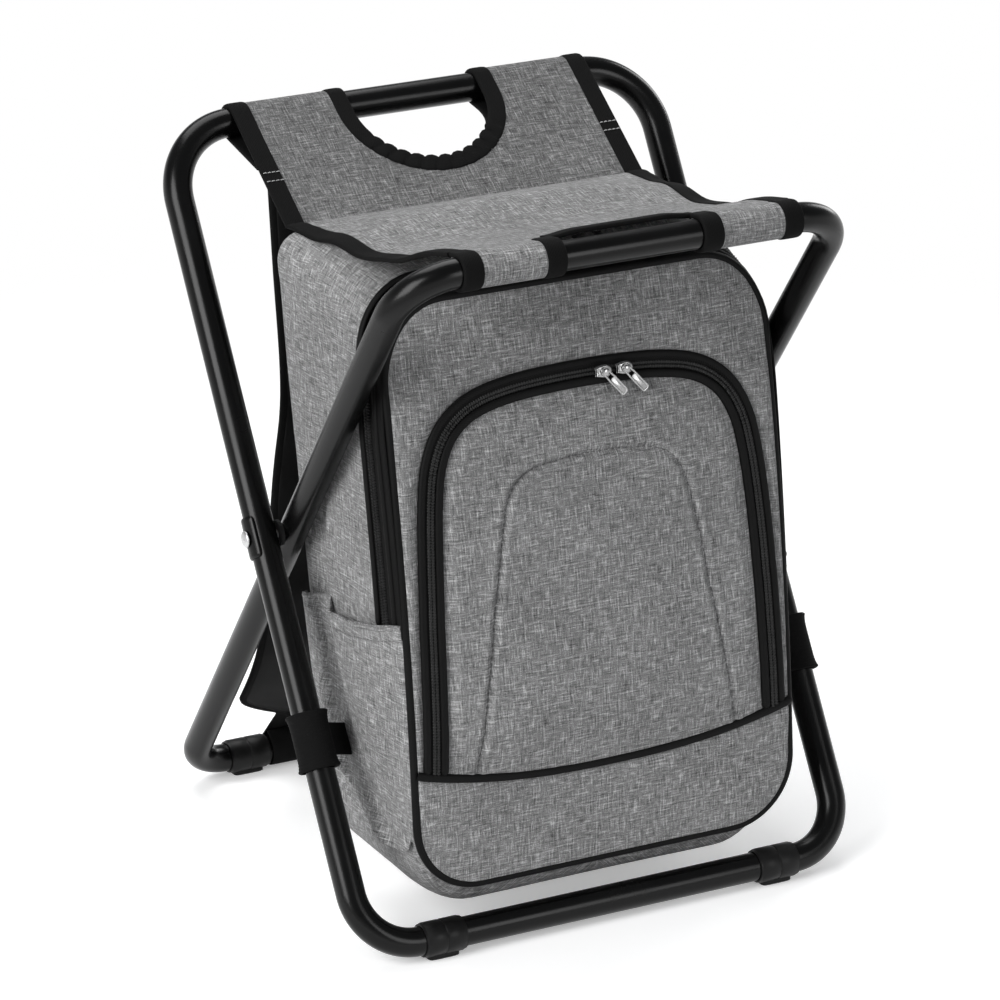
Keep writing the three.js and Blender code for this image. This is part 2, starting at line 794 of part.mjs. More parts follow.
function frontPanel(shape) {
  const rows = edgeInsetShares.map((share) => panelRows(shape, share * frontEdgeRound));
  return formedSlab(2, edgeInsetShares.length - 1, rows[0].length - 1, (across, through, up) => {
    const layer = Math.round(through * (edgeInsetShares.length - 1));
    const row = rows[layer][Math.round(up * (rows[layer].length - 1))];
    const share = (row.height - bagFloor) / bagHeight;
    const back = edgeDepthShares[layer] * frontThickness / bagDepth(share);
    return bagPoint(row.half * (2 * across - 1), share, back);
  });
}

const frontShape = { halfWidth: bagFrontHalfWidth, corner: bagCorner, straightRows: panelRowCount };
addPiece('bag_front_lower', frontPanel({
  ...frontShape,
  low: bagFloor,
  high: hingeHeight - seatGap / 2,
  roundLow: true,
  roundHigh: false,
}), cloth);
addPiece('front_cover', frontPanel({
  ...frontShape,
  low: hingeHeight + seatGap / 2,
  high: bagFloor + bagHeight,
  roundLow: false,
  roundHigh: true,
}), cloth);

const rearShape = {
  low: bagFloor,
  high: bagFloor + bagHeight,
  halfWidth: bagHalfWidth,
  corner: bagRearCorner,
  roundLow: true,
  roundHigh: true,
  straightRows: panelRowCount,
};

function backPanel() {
  const rows = panelRows(rearShape, 0);
  return formedSlab(2, 1, rows.length - 1, (across, through, up) => {
    const row = rows[Math.round(up * (rows.length - 1))];
    const share = (row.height - bagFloor) / bagHeight;
    const half = row.half + flare(share, 1);
    const point = bagPoint(half * (2 * across - 1), share, 1);
    point.y -= wallThickness * (1 - through);
    return point;
  });
}
addPiece('bag_back_panel', backPanel(), cloth);

// The corners tighten from the front panel's radius to the back panel's.
function cornerAt(back) {
  return mix(bagCorner, bagRearCorner, Math.max((back - cornerHoldShare) / (1 - cornerHoldShare), 0));
}
function sideWall(side) {
  return formedSlab(1, wallSteps, wallRowCount, (across, through, up) => {
    const cornerShare = (cornerAt(through) + seatGap / 2) / bagHeight;
    const share = mix(cornerShare, 1 - cornerShare, up);
    const back = wallShare(share, through);
    const x = bagHalfWidth + flare(share, back) - wallThickness * across;
    return bagPoint(side * x, share, back);
  });
}
// The strips over the top and under the bottom carry the rounded corners. The outline runs
// from the left corner's start to the right corner's end.
function cornerOutline(inset, corner = bagCorner) {
  const radius = corner - inset;
  const points = [];
  for (const side of [-1, 1]) {
    for (let step = 0; step <= cornerSteps; step += 1) {
      const angle = Math.PI / 2 * (side < 0 ? step : cornerSteps - step) / cornerSteps;
      points.push({
        x: side * (bagHalfWidth - corner + radius * Math.cos(angle)),
        drop: corner - radius * Math.sin(angle),
      });
    }
  }
  return points;
}

function endStrip(top) {
  const last = 2 * cornerSteps + 1;
  return formedSlab(last, wallSteps, 1, (across, through, layer) => {
    const outline = cornerOutline(wallThickness * layer, cornerAt(through));
    const point = outline[Math.round(across * last)];
    const share = point.drop / bagHeight;
    const up = top ? 1 - share : share;
    const back = wallShare(up, through);
    return bagPoint(point.x + Math.sign(point.x) * flare(up, back), up, back);
  });
}
addPiece('bag_top_strip', endStrip(true), cloth);
addPiece('bag_bottom_strip', endStrip(false), cloth);

// The zip's tape runs round the opening just behind the cover, on the outside of the walls.
function zipTape() {
  const layer = (inset) => {
    const corner = cornerOutline(inset);
    const foot = { drop: bagHeight * (1 - hingeUp), x: corner[0].x };
    return [foot, ...corner, { drop: foot.drop, x: -foot.x }];
  };
  const layers = [layer(-seatGap), layer(-seatGap - tapeThickness)];
  const last = layers[0].length - 1;
  const spread = layers.map((points) => {
    const rows = [];
    for (let step = 0; step < tapeSideSteps; step += 1) {
      rows.push({ x: points[0].x, drop: mix(points[0].drop, points[1].drop, step / tapeSideSteps) });
    }
    rows.push(...points.slice(1, last));
    const [corner, foot] = points.slice(last - 1);
    for (let step = 1; step <= tapeSideSteps; step += 1) {
      rows.push({ x: foot.x, drop: mix(corner.drop, foot.drop, step / tapeSideSteps) });
    }
    return rows;
  });
  return formedSlab(spread[0].length - 1, 1, 1, (along, through, outside) => {
    const point = spread[Math.round(outside)][Math.round(along * (spread[0].length - 1))];
    const up = 1 - point.drop / bagHeight;
    const depth = bagDepth(up);
    const back = (frontThickness + seatGap + through * tapeWidth) / depth;
    return bagPoint(point.x + Math.sign(point.x) * flare(up, back), up, back);
  });
}
addPiece('main_zip_tape', zipTape(), webbing);

// A pouch wall stands off the surface behind it: nothing at its sewn sides and foot, the full
// depth at the middle of its mouth.
function standOff(depth, across, up) {
  return pouchGap + depth * Math.sin(Math.PI * across) ** pouchSideShare * up ** pouchFootShare;
}
function sidePocket(side) {
  return formedSlab(1, pouchSteps, pouchSteps - 2, (layer, through, up) => {
    const height = mix(sidePocketBottom, sidePocketTop - sidePocketMouthDrop * through, up);
    const share = (height - bagFloor) / bagHeight;
    const depth = bagDepth(share);
    const back = mix(sidePocketFrontInset / depth, 1 - sidePocketRearInset / depth, through);
    const out = standOff(sidePocketDepth, through, up) + pouchThickness * layer;
    return bagPoint(side * (bagHalfWidth + flare(share, back) + out), share, back);
  });
}

function meshDivider() {
  return formedSlab(pouchSteps, 1, pouchSteps - 2, (across, layer, up) => {
    const height = mix(dividerBottom, dividerTop, up);
    const share = (height - bagFloor) / bagHeight;
    const out = standOff(dividerDepth, across, up) + pouchThickness * layer;
    const point = bagPoint(dividerHalfWidth * (2 * across - 1), share, 1);
    point.y -= wallThickness + out;
    return point;
  });
}
addPiece('mesh_divider', meshDivider(), mesh);

for (const [label, side] of [['left', -1], ['right', 1]]) {
  addPiece(`bag_side_${label}`, sideWall(side), cloth);
  addPiece(`side_pocket_${label}`, sidePocket(side), cloth);
}

// The arched front pocket: thin at its edges, fuller in the middle, and thinned towards the
// fold so that its two halves clear each other when the cover is down.
const archShape = { halfWidth: archHalfWidth, corner: archCorner, straightRows: wallRowCount };

function archThickness(x, height) {
  const sideways = (archHalfWidth - Math.abs(x)) / archCrownReach;
  const vertical = Math.min(archTop - height, height - archBottom) / archCrownReach;
  const inward = THREE.MathUtils.clamp(Math.min(sideways, vertical), 0, 1);
  const full = mix(archEdge, archBulge, 1 - (1 - inward) ** 2);
  const fromFold = Math.abs(height - hingeHeight) - foldClear;
  return mix(foldEdge, full, THREE.MathUtils.clamp(fromFold / foldRelief, 0, 1));
}

function archHalf(low, high, roundHigh) {
  const shape = { ...archShape, low, high, roundLow: false, roundHigh };
  const rows = panelRows(shape, 0);
  const extra = roundHigh ? low + foldRelief : high - foldRelief;
  rows.push({ height: extra, half: archHalfWidth });
  rows.sort((one, other) => one.height - other.height);
  return formedSlab(archAcross, 1, rows.length - 1, (across, layer, up) => {
    const row = rows[Math.round(up * (rows.length - 1))];
    const x = row.half * (2 * across - 1);
    const share = (row.height - bagFloor) / bagHeight;
    const out = seatGap + archThickness(x, row.height) * (1 - layer);
    return new THREE.Vector3(x, bagFrontY(share) - out, row.height);
  });
}
addPiece('front_pocket_lower', archHalf(archBottom, hingeHeight - foldClear, false), cloth);
addPiece('front_pocket_upper', archHalf(hingeHeight + foldClear, archTop, true), cloth);

// Zip sliders: a tapered body with a headed stud, which the pull tab turns on. Both are drawn
// lying on a surface that faces -Y.
function zipSlider() {
  const nose = new THREE.Shape();
  const half = sliderLength / 2;
  const wide = sliderWidth / 2;
  nose.moveTo(-half, -wide * sliderNoseShare);
  nose.lineTo(0, -wide);
  nose.absarc(half - wide, 0, wide, -Math.PI / 2, Math.PI / 2, false);
  nose.lineTo(0, wide);
  nose.lineTo(-half, wide * sliderNoseShare);
  nose.closePath();
  const body = new THREE.ExtrudeGeometry(nose, {
    depth: sliderHeight,
    curveSegments: tabSteps,
    bevelEnabled: false,
  });
  body.rotateX(Math.PI / 2).translate(0, -seatGap, 0);
  const reach = sliderHeight + tabThickness + 2 * seatGap;
  const profile = [
    new THREE.Vector2(0, sliderHeight / 2),
    new THREE.Vector2(studRadius, sliderHeight / 2),
    new THREE.Vector2(studRadius, reach),
    new THREE.Vector2(studHeadRadius, reach),
    new THREE.Vector2(studHeadRadius, reach + studHeadHeight / 2),
    new THREE.Vector2(studRadius, reach + studHeadHeight),
    new THREE.Vector2(0, reach + studHeadHeight),
  ];
  const stud = new THREE.LatheGeometry(profile, studSides).rotateX(Math.PI).translate(0, -seatGap, 0);
  return joined(body, stud);
}

function pullTab() {
  const outline = new THREE.Shape();
  const half = tabWidth / 2;
  const cornerHeight = half + tabCorner - tabLength;
  outline.absarc(0, 0, half, 0, Math.PI, false);
  outline.lineTo(-half * tabWaistShare, -half);
  outline.lineTo(-half, cornerHeight);
  outline.absarc(tabCorner - half, cornerHeight, tabCorner, Math.PI, Math.PI * 3 / 2, false);
  outline.absarc(half - tabCorner, cornerHeight, tabCorner, -Math.PI / 2, 0, false);
  outline.lineTo(half * tabWaistShare, -half);
  outline.closePath();
  const eye = new THREE.Path().absarc(0, 0, tabHole, 0, 2 * Math.PI, true);
  const end = new THREE.Path().absarc(0, half * 2 - tabLength, tabHole, 0, 2 * Math.PI, true);
  outline.holes.push(eye, end);
  const tab = new THREE.ExtrudeGeometry(outline, {
    depth: tabThickness,
    curveSegments: tabSteps,
    bevelEnabled: false,
  });
  return tab.rotateX(Math.PI / 2).translate(0, -(sliderHeight + 2 * seatGap), 0);
}

// A zip slider and its tab stand on a spot of the bag. The spot's tilt turns the surface that
// faces -Y, and the tab's lean turns it on its stud.
function addSlider(name, spot, tilt, lean) {
  const place = new THREE.Group();
  place.position.copy(spot);
  place.rotation.x = tilt;
  stool.add(place);
  addPiece(`${name}_slider`, zipSlider(), silver, place);
  const tab = addPiece(`${name}_tab`, pullTab(), silver, place);
  tab.rotation.y = lean;
}

const archZipHeight = archTop - sliderWidth;
const archZipUp = (archZipHeight - bagFloor) / bagHeight;
const archSlope = Math.tan(bagFrontLean) + bagFrontBow * 4 * (2 * archZipUp - 1) / bagHeight;
const archFace = bagFrontY(archZipUp) - seatGap - archThickness(0, archZipHeight - sliderWidth / 2);
const topBack = (frontThickness + seatGap + tapeWidth / 2) / bagTopDepth;
const topFace = bagPoint(0, 1, topBack);
const topSlope = (bagTopRise + bagTopCrown * 4 * (1 - 2 * topBack)) / bagTopDepth;
['left', 'right'].forEach((label, i) => {
  const archSpot = new THREE.Vector3(archSliderOffset + i * sliderPitch, archFace, archZipHeight);
  addSlider(`pocket_zip_${label}`, archSpot, -Math.atan(archSlope), -tabLean);
  const topSpot = topFace.clone();
  topSpot.x = mainSliderOffset + i * sliderPitch;
  topSpot.z += 2 * seatGap + tapeThickness;
  addSlider(`main_zip_${label}`, topSpot, Math.atan(topSlope) - Math.PI / 2, Math.PI);
});

export default stool;
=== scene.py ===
"""Looks of a folding stool with a cooler backpack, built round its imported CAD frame."""

import math

import bmesh
import bpy
import numpy as np
from mathutils import Matrix, Vector, noise


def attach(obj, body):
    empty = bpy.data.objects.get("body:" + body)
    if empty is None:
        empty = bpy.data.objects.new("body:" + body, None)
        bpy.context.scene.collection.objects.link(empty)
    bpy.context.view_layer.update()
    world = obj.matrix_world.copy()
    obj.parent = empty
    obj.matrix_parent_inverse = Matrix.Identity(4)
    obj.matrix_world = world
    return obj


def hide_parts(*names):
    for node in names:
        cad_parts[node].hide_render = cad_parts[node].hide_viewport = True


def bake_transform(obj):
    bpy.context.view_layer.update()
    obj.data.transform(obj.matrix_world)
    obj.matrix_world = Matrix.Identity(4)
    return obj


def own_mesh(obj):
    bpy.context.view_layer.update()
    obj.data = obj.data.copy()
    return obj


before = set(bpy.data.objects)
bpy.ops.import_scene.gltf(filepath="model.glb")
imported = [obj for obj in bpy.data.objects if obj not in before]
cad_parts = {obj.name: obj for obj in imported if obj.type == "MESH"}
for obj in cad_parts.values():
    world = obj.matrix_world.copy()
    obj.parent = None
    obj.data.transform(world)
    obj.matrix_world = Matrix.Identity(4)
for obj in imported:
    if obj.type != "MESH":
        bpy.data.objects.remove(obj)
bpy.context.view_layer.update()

# Sizes are in millimetres, as in the CAD source, and become metres where a mesh is made.
MM = 0.001
SIDES = ((-1, "left"), (1, "right"))

# Frame
PIVOT = (-5.496, 243.0)
OUTER_TILT = math.radians(32.3)
INNER_TILT = math.radians(36.2)
OUTER_HALF = 175.0
INNER_HALF = 153.2
TUBE_RADIUS = 9.5
REAR_BAR = np.array([138.64, 471.0])
FRONT_BAR = np.array([-163.58, 459.0])
FRONT_FLOOR_BAR = np.array([-151.02, 12.8])
REAR_FLOOR_BAR = np.array([162.98, 12.8])
OUTER_FORWARD = np.array([0, math.cos(OUTER_TILT), -math.sin(OUTER_TILT)])
OUTER_ALONG = np.array([0, math.sin(OUTER_TILT), math.cos(OUTER_TILT)])

# Seat
CLOTH = 1.6
WRAP_RADIUS = TUBE_RADIUS + 0.3 + CLOTH / 2
WRAP_SEAM = math.sqrt(11.4 ** 2 - 9.8 ** 2)
CREASE = np.array([52.0, 426.0])
SEAT_HALF = 128.0
SEAT_FRONT_HALF = 117.0
BARE_HALF = 49.0
HOLE_START = 14.0
HOLE_RISE = 48.0
HOLE_END = HOLE_START + HOLE_RISE

# Bag
BAG_FLOOR, BAG_HEIGHT = 42.0, 370.0
BAG_TOP_FRONT = -91.496
BAG_FLOOR_FRONT = -150.098
FRONT_HALF = 136.0
BAG_HALF = 133.5
FRONT_CORNER = 45.0
REAR_CORNER = 16.0
FRONT_THICKNESS = 12.0
WALL = 5.0
HINGE = (-131.58, 217.5)
FOLD_REACH = 12.0
BELLY = 20.0
BELLOWS_Y = -31.0
TOP_LIFT = 5.0
SHELL_START = FRONT_THICKNESS + 0.3
SHELL_MIDDLE = 225.0
USUAL_DEPTH = 130.0
REAR_ROLL = 7.0
SEAM_DEPTH = 2.2


# Small mathematics

def mix(a, b, share):
    return a + (b - a) * share


def hump(share):
    return 4 * share * (1 - share)


def bell(value, middle, width):
    return np.exp(-((value - middle) / width) ** 2)


def smooth(value, low, high):
    share = np.clip((np.asarray(value, float) - low) / (high - low), 0, 1)
    return share * share * (3 - 2 * share)


def unit(vectors):
    return vectors / np.maximum(np.linalg.norm(vectors, axis=-1, keepdims=True), 1e-9)


def arrays(*values):
    """The values as float arrays of one shape."""
    return np.broadcast_arrays(*[np.asarray(value, float) for value in values])


def distances(path):
    """Distance of each point of a line from its start."""
    return np.concatenate([[0], np.cumsum(np.linalg.norm(np.diff(path, axis=0), axis=1))])


def picked(where, reach, path):
    """Places along a line whose points lie at the given reach."""
    return np.stack([np.interp(where, reach, column) for column in path.T], axis=-1)


def resample(path, step, closed=False):
    """Points spaced evenly along a line of points, about a step apart."""
    path = np.asarray(path, float)
    if closed:
        path = np.vstack([path, path[:1]])
    reach = distances(path)
    where = np.linspace(0, reach[-1], max(2, int(round(reach[-1] / step)) + 1))
    return picked(where[:-1] if closed else where, reach, path)


def spline(points, step):
    """A smooth curve through the points, spaced evenly."""
    points = np.asarray(points, float)
    points = np.vstack([2 * points[0] - points[1], points, 2 * points[-1] - points[-2]])
    t = np.linspace(0, 1, 16, endpoint=False)[:, None]
    pieces = [0.5 * (2 * b + (c - a) * t + (2 * a - 5 * b + 4 * c - d) * t ** 2
                     + (3 * b - a - 3 * c + d) * t ** 3)
              for a, b, c, d in zip(points[:-3], points[1:-2], points[2:-1], points[3:])]
    return resample(np.vstack([*pieces, points[-2:-1]]), step)


def route(start, end, shares):
    """Points by their share of the way from start to end, and their share of it aside."""
    run = end - start
    return [start + run * a + np.array([run[1], -run[0]]) * b for a, b in shares]


def both_sides(half):
    """A line with its mirror image before it."""
    return np.vstack([half * [-1, 1], half[-2::-1]])


def wrinkle(points, size, seed):
    """Smooth noise from -1 to 1 at each point, with bumps of about the given size."""
    flat = points.reshape(-1, 3) / size + seed
    return np.array([noise.noise(Vector(p)) for p in flat]).reshape(points.shape[:-1])


# Meshes

def placed(name, data):
    """A new object in the scene."""
    thing = bpy.data.objects.new(name, data)
    bpy.context.scene.collection.objects.link(thing)
    return thing


class Skin:
    """Patches of faces that are gathered and then made into one mesh."""

    def __init__(self):
        self.points, self.faces, self.uvs, self.slots = [], [], [], []
        self.count = 0

    def grid(self, points, slot=0, uv=None, loop=False):
        """A grid of points as quads. With loop, its second direction closes on itself."""
        points = np.asarray(points, float)
        if loop:
            points = np.concatenate([points, points[:, :1]], axis=1)
            uv = None if uv is None else np.concatenate([uv, uv[:, :1]], axis=1)
        rows, columns = points.shape[:2]
        if uv is None:
            along = np.linalg.norm(np.diff(points, axis=0), axis=2).mean(axis=1)
            aside = np.linalg.norm(np.diff(points, axis=1), axis=2).mean(axis=0)
            uv = np.stack(np.meshgrid(np.concatenate([[0], np.cumsum(aside)]),
                                      np.concatenate([[0], np.cumsum(along)])), axis=2)
        index = np.arange(rows * columns).reshape(rows, columns) + self.count
        quads = np.stack([index[:-1, :-1], index[:-1, 1:], index[1:, 1:], index[1:, :-1]], axis=2)
        self.points.append(points.reshape(-1, 3))
        self.uvs.append(np.asarray(uv, float).reshape(-1, 2))
        self.faces.append(quads.reshape(-1, 4))
        self.slots.append(np.full((rows - 1) * (columns - 1), slot))
        self.count += rows * columns
        return self

    def pad(self, outer, inner, slots=(0, 0, 0), uv=None, rings=()):
        """A closed solid between two grids of the same shape, with rings round its rim."""
        self.grid(outer, slots[0], uv)
        self.grid(inner, slots[1], uv)
        near, far = border(outer), border(inner)
        layers = [near]
        for share, out in rings:
            between = mix(near, far, share)
            away = between - between.mean(axis=0)
            axis = unit(far.mean(axis=0) - near.mean(axis=0))
            away -= (away @ axis)[:, None] * axis
            layers.append(between + unit(away) * out)
        return self.grid(np.stack([*layers, far]), slots[2], loop=True)

    def sweep(self, path, section, normals, loop=False, slot=0, scale=1.0):
        """A closed section, as (aside, out) points, carried along a path."""
        path = np.asarray(path, float)
        around = np.roll(path, -1, axis=0) - np.roll(path, 1, axis=0)
        tangent = unit(around if loop else np.gradient(path, axis=0))
        normal = np.broadcast_to(np.asarray(normals, float), path.shape)
        normal = unit(normal - (normal * tangent).sum(axis=1, keepdims=True) * tangent)
        aside = np.cross(tangent, normal)
        size = np.broadcast_to(scale, len(path))[:, None, None]
        section = np.asarray(section, float)
        ring = aside[:, None] * section[:, :1] + normal[:, None] * section[:, 1:]
        rings = path[:, None] + size * ring
        if loop:
            rings = np.concatenate([rings, rings[:1]])
        else:
            first, last = [np.tile(rings[i].mean(axis=0), (1, len(section), 1)) for i in (0, -1)]
            rings = np.concatenate([first, rings, last])
        return self.grid(rings, slot, loop=True)

    def lathe(self, profile, centre, axis, sides=48):
        """A profile of (radius, along) points turned round an axis."""
        axis = unit(np.asarray(axis, float))
        one = unit(np.cross(axis, [0, 0, 1.0] if abs(axis[2]) < 0.9 else [1.0, 0, 0]))
        angle = np.linspace(0, 2 * np.pi, sides, endpoint=False)[:, None]
        spoke = np.cos(angle) * one + np.sin(angle) * np.cross(axis, one)
        rings = [np.asarray(centre) + axis * along + spoke * radius for radius, along in profile]
        return self.grid(np.array(rings), loop=True)

    def build(self, name, materials, sharp=42, weld=0.02):
        """One object of all patches, joined where they meet, with its faces turned outwards."""
        points = np.concatenate(self.points) * MM
        faces = np.concatenate(self.faces)
        uvs = np.concatenate(self.uvs) * MM
        mesh = bpy.data.meshes.new(name)
        mesh.vertices.add(len(points))
        mesh.vertices.foreach_set("co", points.ravel())
        mesh.loops.add(faces.size)
        mesh.loops.foreach_set("vertex_index", faces.ravel())
        mesh.polygons.add(len(faces))
        mesh.polygons.foreach_set("loop_start", np.arange(0, faces.size, 4))
        mesh.polygons.foreach_set("loop_total", np.full(len(faces), 4))
        mesh.polygons.foreach_set("material_index", np.concatenate(self.slots))
        mesh.update(calc_edges=True)
        mesh.uv_layers.new(name="UVMap").data.foreach_set("uv", uvs[faces.ravel()].ravel())
        for one in materials:
            mesh.materials.append(one)
        piece = placed(name, mesh)
        work = bmesh.new()
        work.from_mesh(mesh)
        bmesh.ops.remove_doubles(work, verts=work.verts, dist=weld * MM)
        bmesh.ops.dissolve_degenerate(work, edges=work.edges, dist=weld * MM / 4)
        bmesh.ops.recalc_face_normals(work, faces=work.faces)
        work.to_mesh(mesh)
        work.free()
        return shaded(piece, sharp)


def shaded(piece, sharp):
    """Smooth shading with edges kept where faces meet at more than the sharp angle."""
    piece.data.polygons.foreach_set("use_smooth", np.ones(len(piece.data.polygons), bool))
    piece.data.set_sharp_from_angle(angle=math.radians(sharp))
    piece.data.update()
    return piece


def border(grid):
    """The points round the edge of a grid, once round."""
    return np.concatenate([grid[0, :-1], grid[:-1, -1], grid[-1, :0:-1], grid[:0:-1, 0]])


def oval(width, height, power, count):
    """A rounded section, from an ellipse at power 2 to nearly a rectangle at power 8."""
    angle = np.linspace(0, 2 * np.pi, count, endpoint=False)
    way = np.stack([np.cos(angle), np.sin(angle)], axis=1)
    return np.sign(way) * np.abs(way) ** (2 / power) * [width / 2, height / 2]


def tapered(path):
    """Scales that close a swept bead softly at both ends."""
    size = np.ones(len(path))
    for i, share in enumerate((0.25, 0.75)):
        size[i] = size[-1 - i] = math.sqrt(1 - (1 - share) ** 2)
    return size


def thicken(piece, thickness):
    """Gives a single layer its thickness, half on each side."""
    layer = piece.modifiers.new("thickness", "SOLIDIFY")
    layer.thickness = thickness * MM
    layer.offset = 0
    layer.use_even_offset = layer.use_quality_normals = True
    solid = bpy.data.meshes.new_from_object(piece.evaluated_get(bpy.context.evaluated_depsgraph_get()))
    flat = piece.data
    piece.modifiers.clear()
    piece.data = solid
    solid.name = piece.name
    bpy.data.meshes.remove(flat)
    return shaded(piece, 60)


# Materials

def srgb(level):
    """A grey as seen on screen, 0 to 255, as linear light."""
    share = level / 255
    share = share / 12.92 if share <= 0.04045 else ((share + 0.055) / 1.055) ** 2.4
    return (share, share, share, 1.0)


class Nodes:
    """An emptied node tree with its output, to be filled."""

    def __init__(self, owner, output):
        owner.use_nodes = True
        self.tree = owner.node_tree
        self.tree.nodes.clear()
        self.out = self.add(output)

    def add(self, kind, inputs=None, **settings):
        node = self.tree.nodes.new(kind)
        for key, value in settings.items():
            setattr(node, key, value)
        for key, value in (inputs or {}).items():
            if isinstance(value, bpy.types.NodeSocket):
                self.tree.links.new(value, node.inputs[key])
            else:
                node.inputs[key].default_value = value
        return node

    def end(self, node):
        self.tree.links.new(node.outputs[0], self.out.inputs[0])

    def math(self, operation, a, b):
        return self.add("ShaderNodeMath", {0: a, 1: b}, operation=operation).outputs[0]

    def total(self, *parts):
        """The sum of values, each times its weight."""
        values = [self.math("MULTIPLY", value, weight) for value, weight in parts]
        result = values[0]
        for value in values[1:]:
            result = self.math("ADD", result, value)
        return result

    def span(self, value, low, high):
        """A value's smooth share of the way from low to high, held between 0 and 1."""
        return self.add("ShaderNodeMapRange", {"Value": value, "From Min": low, "From Max": high},
                        interpolation_type="SMOOTHSTEP").outputs[0]


class Shader(Nodes):
    """A material's nodes, with its Principled shader and output in place."""

    def __init__(self, name, **constants):
        self.material = bpy.data.materials.new(name)
        super().__init__(self.material, "ShaderNodeOutputMaterial")
        inputs = {socket.replace("_", " "): value for socket, value in constants.items()}
        self.principled = self.add("ShaderNodeBsdfPrincipled", inputs)
        self.end(self.principled)

    def mapped(self, scale, kind="UV"):
        """Coordinates on the cloth or in the object, in metres times a scale."""
        scale = (scale,) * 3 if np.isscalar(scale) else (*scale, 1)[:3]
        vector = self.add("ShaderNodeTexCoord").outputs[kind]
        return self.add("ShaderNodeMapping", {"Vector": vector, "Scale": scale}).outputs[0]

    def noise(self, scale, detail=2.0, roughness=0.5, kind="UV"):
        return self.add("ShaderNodeTexNoise", {
            "Vector": self.mapped(scale, kind), "Scale": 1.0, "Detail": detail,
            "Roughness": roughness}).outputs["Fac"]

    def wave(self, pitch_scale, direction, distortion=0.0):
        return self.add("ShaderNodeTexWave", {
            "Vector": self.mapped(pitch_scale), "Scale": 1.0, "Distortion": distortion,
            "Detail": 1.0}, wave_type="BANDS", bands_direction=direction,
            wave_profile="SIN").outputs["Fac"]

    def ramp(self, socket, value, *stops):
        """Drives a socket by a value, with (place, level) stops: screen levels for a colour."""
        node = self.add("ShaderNodeValToRGB", {"Fac": value})
        elements = node.color_ramp.elements
        for i, (place, level) in enumerate(stops):
            stop = elements[i] if i < 2 else elements.new(place)
            stop.position = place
            stop.color = srgb(level) if socket == "Base Color" else (level, level, level, 1)
        self.tree.links.new(node.outputs["Color"], self.principled.inputs[socket])

    def bump(self, height, distance, strength, under=None):
        """Bumps the surface, over an earlier bump where one is given."""
        inputs = {"Height": height, "Distance": distance, "Strength": strength}
        if under is not None:
            inputs["Normal"] = under
        normal = self.add("ShaderNodeBump", inputs).outputs[0]
        self.tree.links.new(normal, self.principled.inputs["Normal"])
        return normal


WAVE_TURN = 20 / (2 * math.pi)
WEAVE_SCALE = 1100 / WAVE_TURN


def heather(name, dark, middle, light):
    """Melange polyester: sparse pale and dark yarns of a plain weave over a mid grey."""
    shader = Shader(name, Roughness=0.92, Specular_IOR_Level=0.12, Sheen_Weight=0.04,
                    Sheen_Roughness=0.5)
    tones = []
    for long, short in ((85, 900), (160, 1500)):
        yarns = [shader.noise(size, 1.0) for size in ((short, long), (long, short))]
        tones.append(shader.total(*[part for yarn in yarns for part in (
            (shader.span(yarn, 0.56, 0.68), 1.0), (shader.span(yarn, 0.43, 0.31), -0.8))]))
    coarse, fine = tones
    grain = shader.noise(1500, 2.0, 0.7)
    patch = shader.noise(14, 2.0)
    tone = shader.total((coarse, 0.125), (fine, 0.1), (grain, 0.62), (patch, 0.14))
    shader.ramp("Base Color", tone, (0.08, dark), (0.86, light), (0.38, middle))
    weave = shader.math("MULTIPLY", shader.wave((WEAVE_SCALE, 0.001), "X"),
                        shader.wave((0.001, WEAVE_SCALE), "Y"))
    shader.bump(shader.math("ADD", weave, coarse), 0.0003, 0.4)
    return shader.material


def ribbed(name, level, pitch=0.9, depth=0.0001, roughness=0.82):
    """Woven tape with fine ribs and a little wear in its tone."""
    shader = Shader(name, Specular_IOR_Level=0.08)
    along = shader.wave(1000 / pitch / WAVE_TURN, "DIAGONAL", 0.4)
    threads = shader.noise(900, 1.5)
    patch = shader.noise(30, 3.0)
    tone = shader.total((along, 0.25), (threads, 0.4), (patch, 0.35))
    shader.ramp("Base Color", tone, (0.25, level * 0.7), (0.75, level * 1.4))
    shader.ramp("Roughness", patch, (0.3, roughness - 0.08), (0.7, roughness + 0.08))
    shader.bump(shader.total((along, 1.0), (threads, 0.8)), depth, 0.6)
    return shader.material


def coated_steel():
    """Satin black powder coat, with its faint orange peel and rubbed patches."""
    shader = Shader("frame_black", Specular_IOR_Level=0.22)
    rub = shader.noise(22, 4.0, 0.6, "Object")
    shader.ramp("Base Color", rub, (0.3, 4), (0.75, 9))
    shader.ramp("Roughness", rub, (0.3, 0.2), (0.7, 0.28))
    shader.bump(shader.noise(900, kind="Object"), 0.00008, 0.35)
    return shader.material


def moulded(name, level, roughness):
    """Matt moulded plastic with a fine spark-eroded grain."""
    shader = Shader(name, Specular_IOR_Level=0.2)
    scuff = shader.noise(60, 4.0, 0.65, "Object")
    shader.ramp("Base Color", scuff, (0.3, level * 0.8), (0.75, level * 1.35))
    shader.ramp("Roughness", scuff, (0.3, roughness - 0.08), (0.75, roughness + 0.1))
    shader.bump(shader.noise(1400, kind="Object"), 0.0001, 0.4)
    return shader.material


def plated(name, level, roughness):
    """Plated or polished metal with a cloudy gloss and hairline scratches."""
    shader = Shader(name, Metallic=1.0)
    cloud = shader.noise(180, 3.0, kind="Object")
    shader.ramp("Base Color", cloud, (0.3, level * 0.9), (0.7, level))
    shader.ramp("Roughness", cloud, (0.3, roughness * 0.7), (0.7, roughness * 1.4))
    shader.bump(shader.noise((160, 2600, 900), 1.0, kind="Object"), 0.00003, 0.4)
    return shader.material


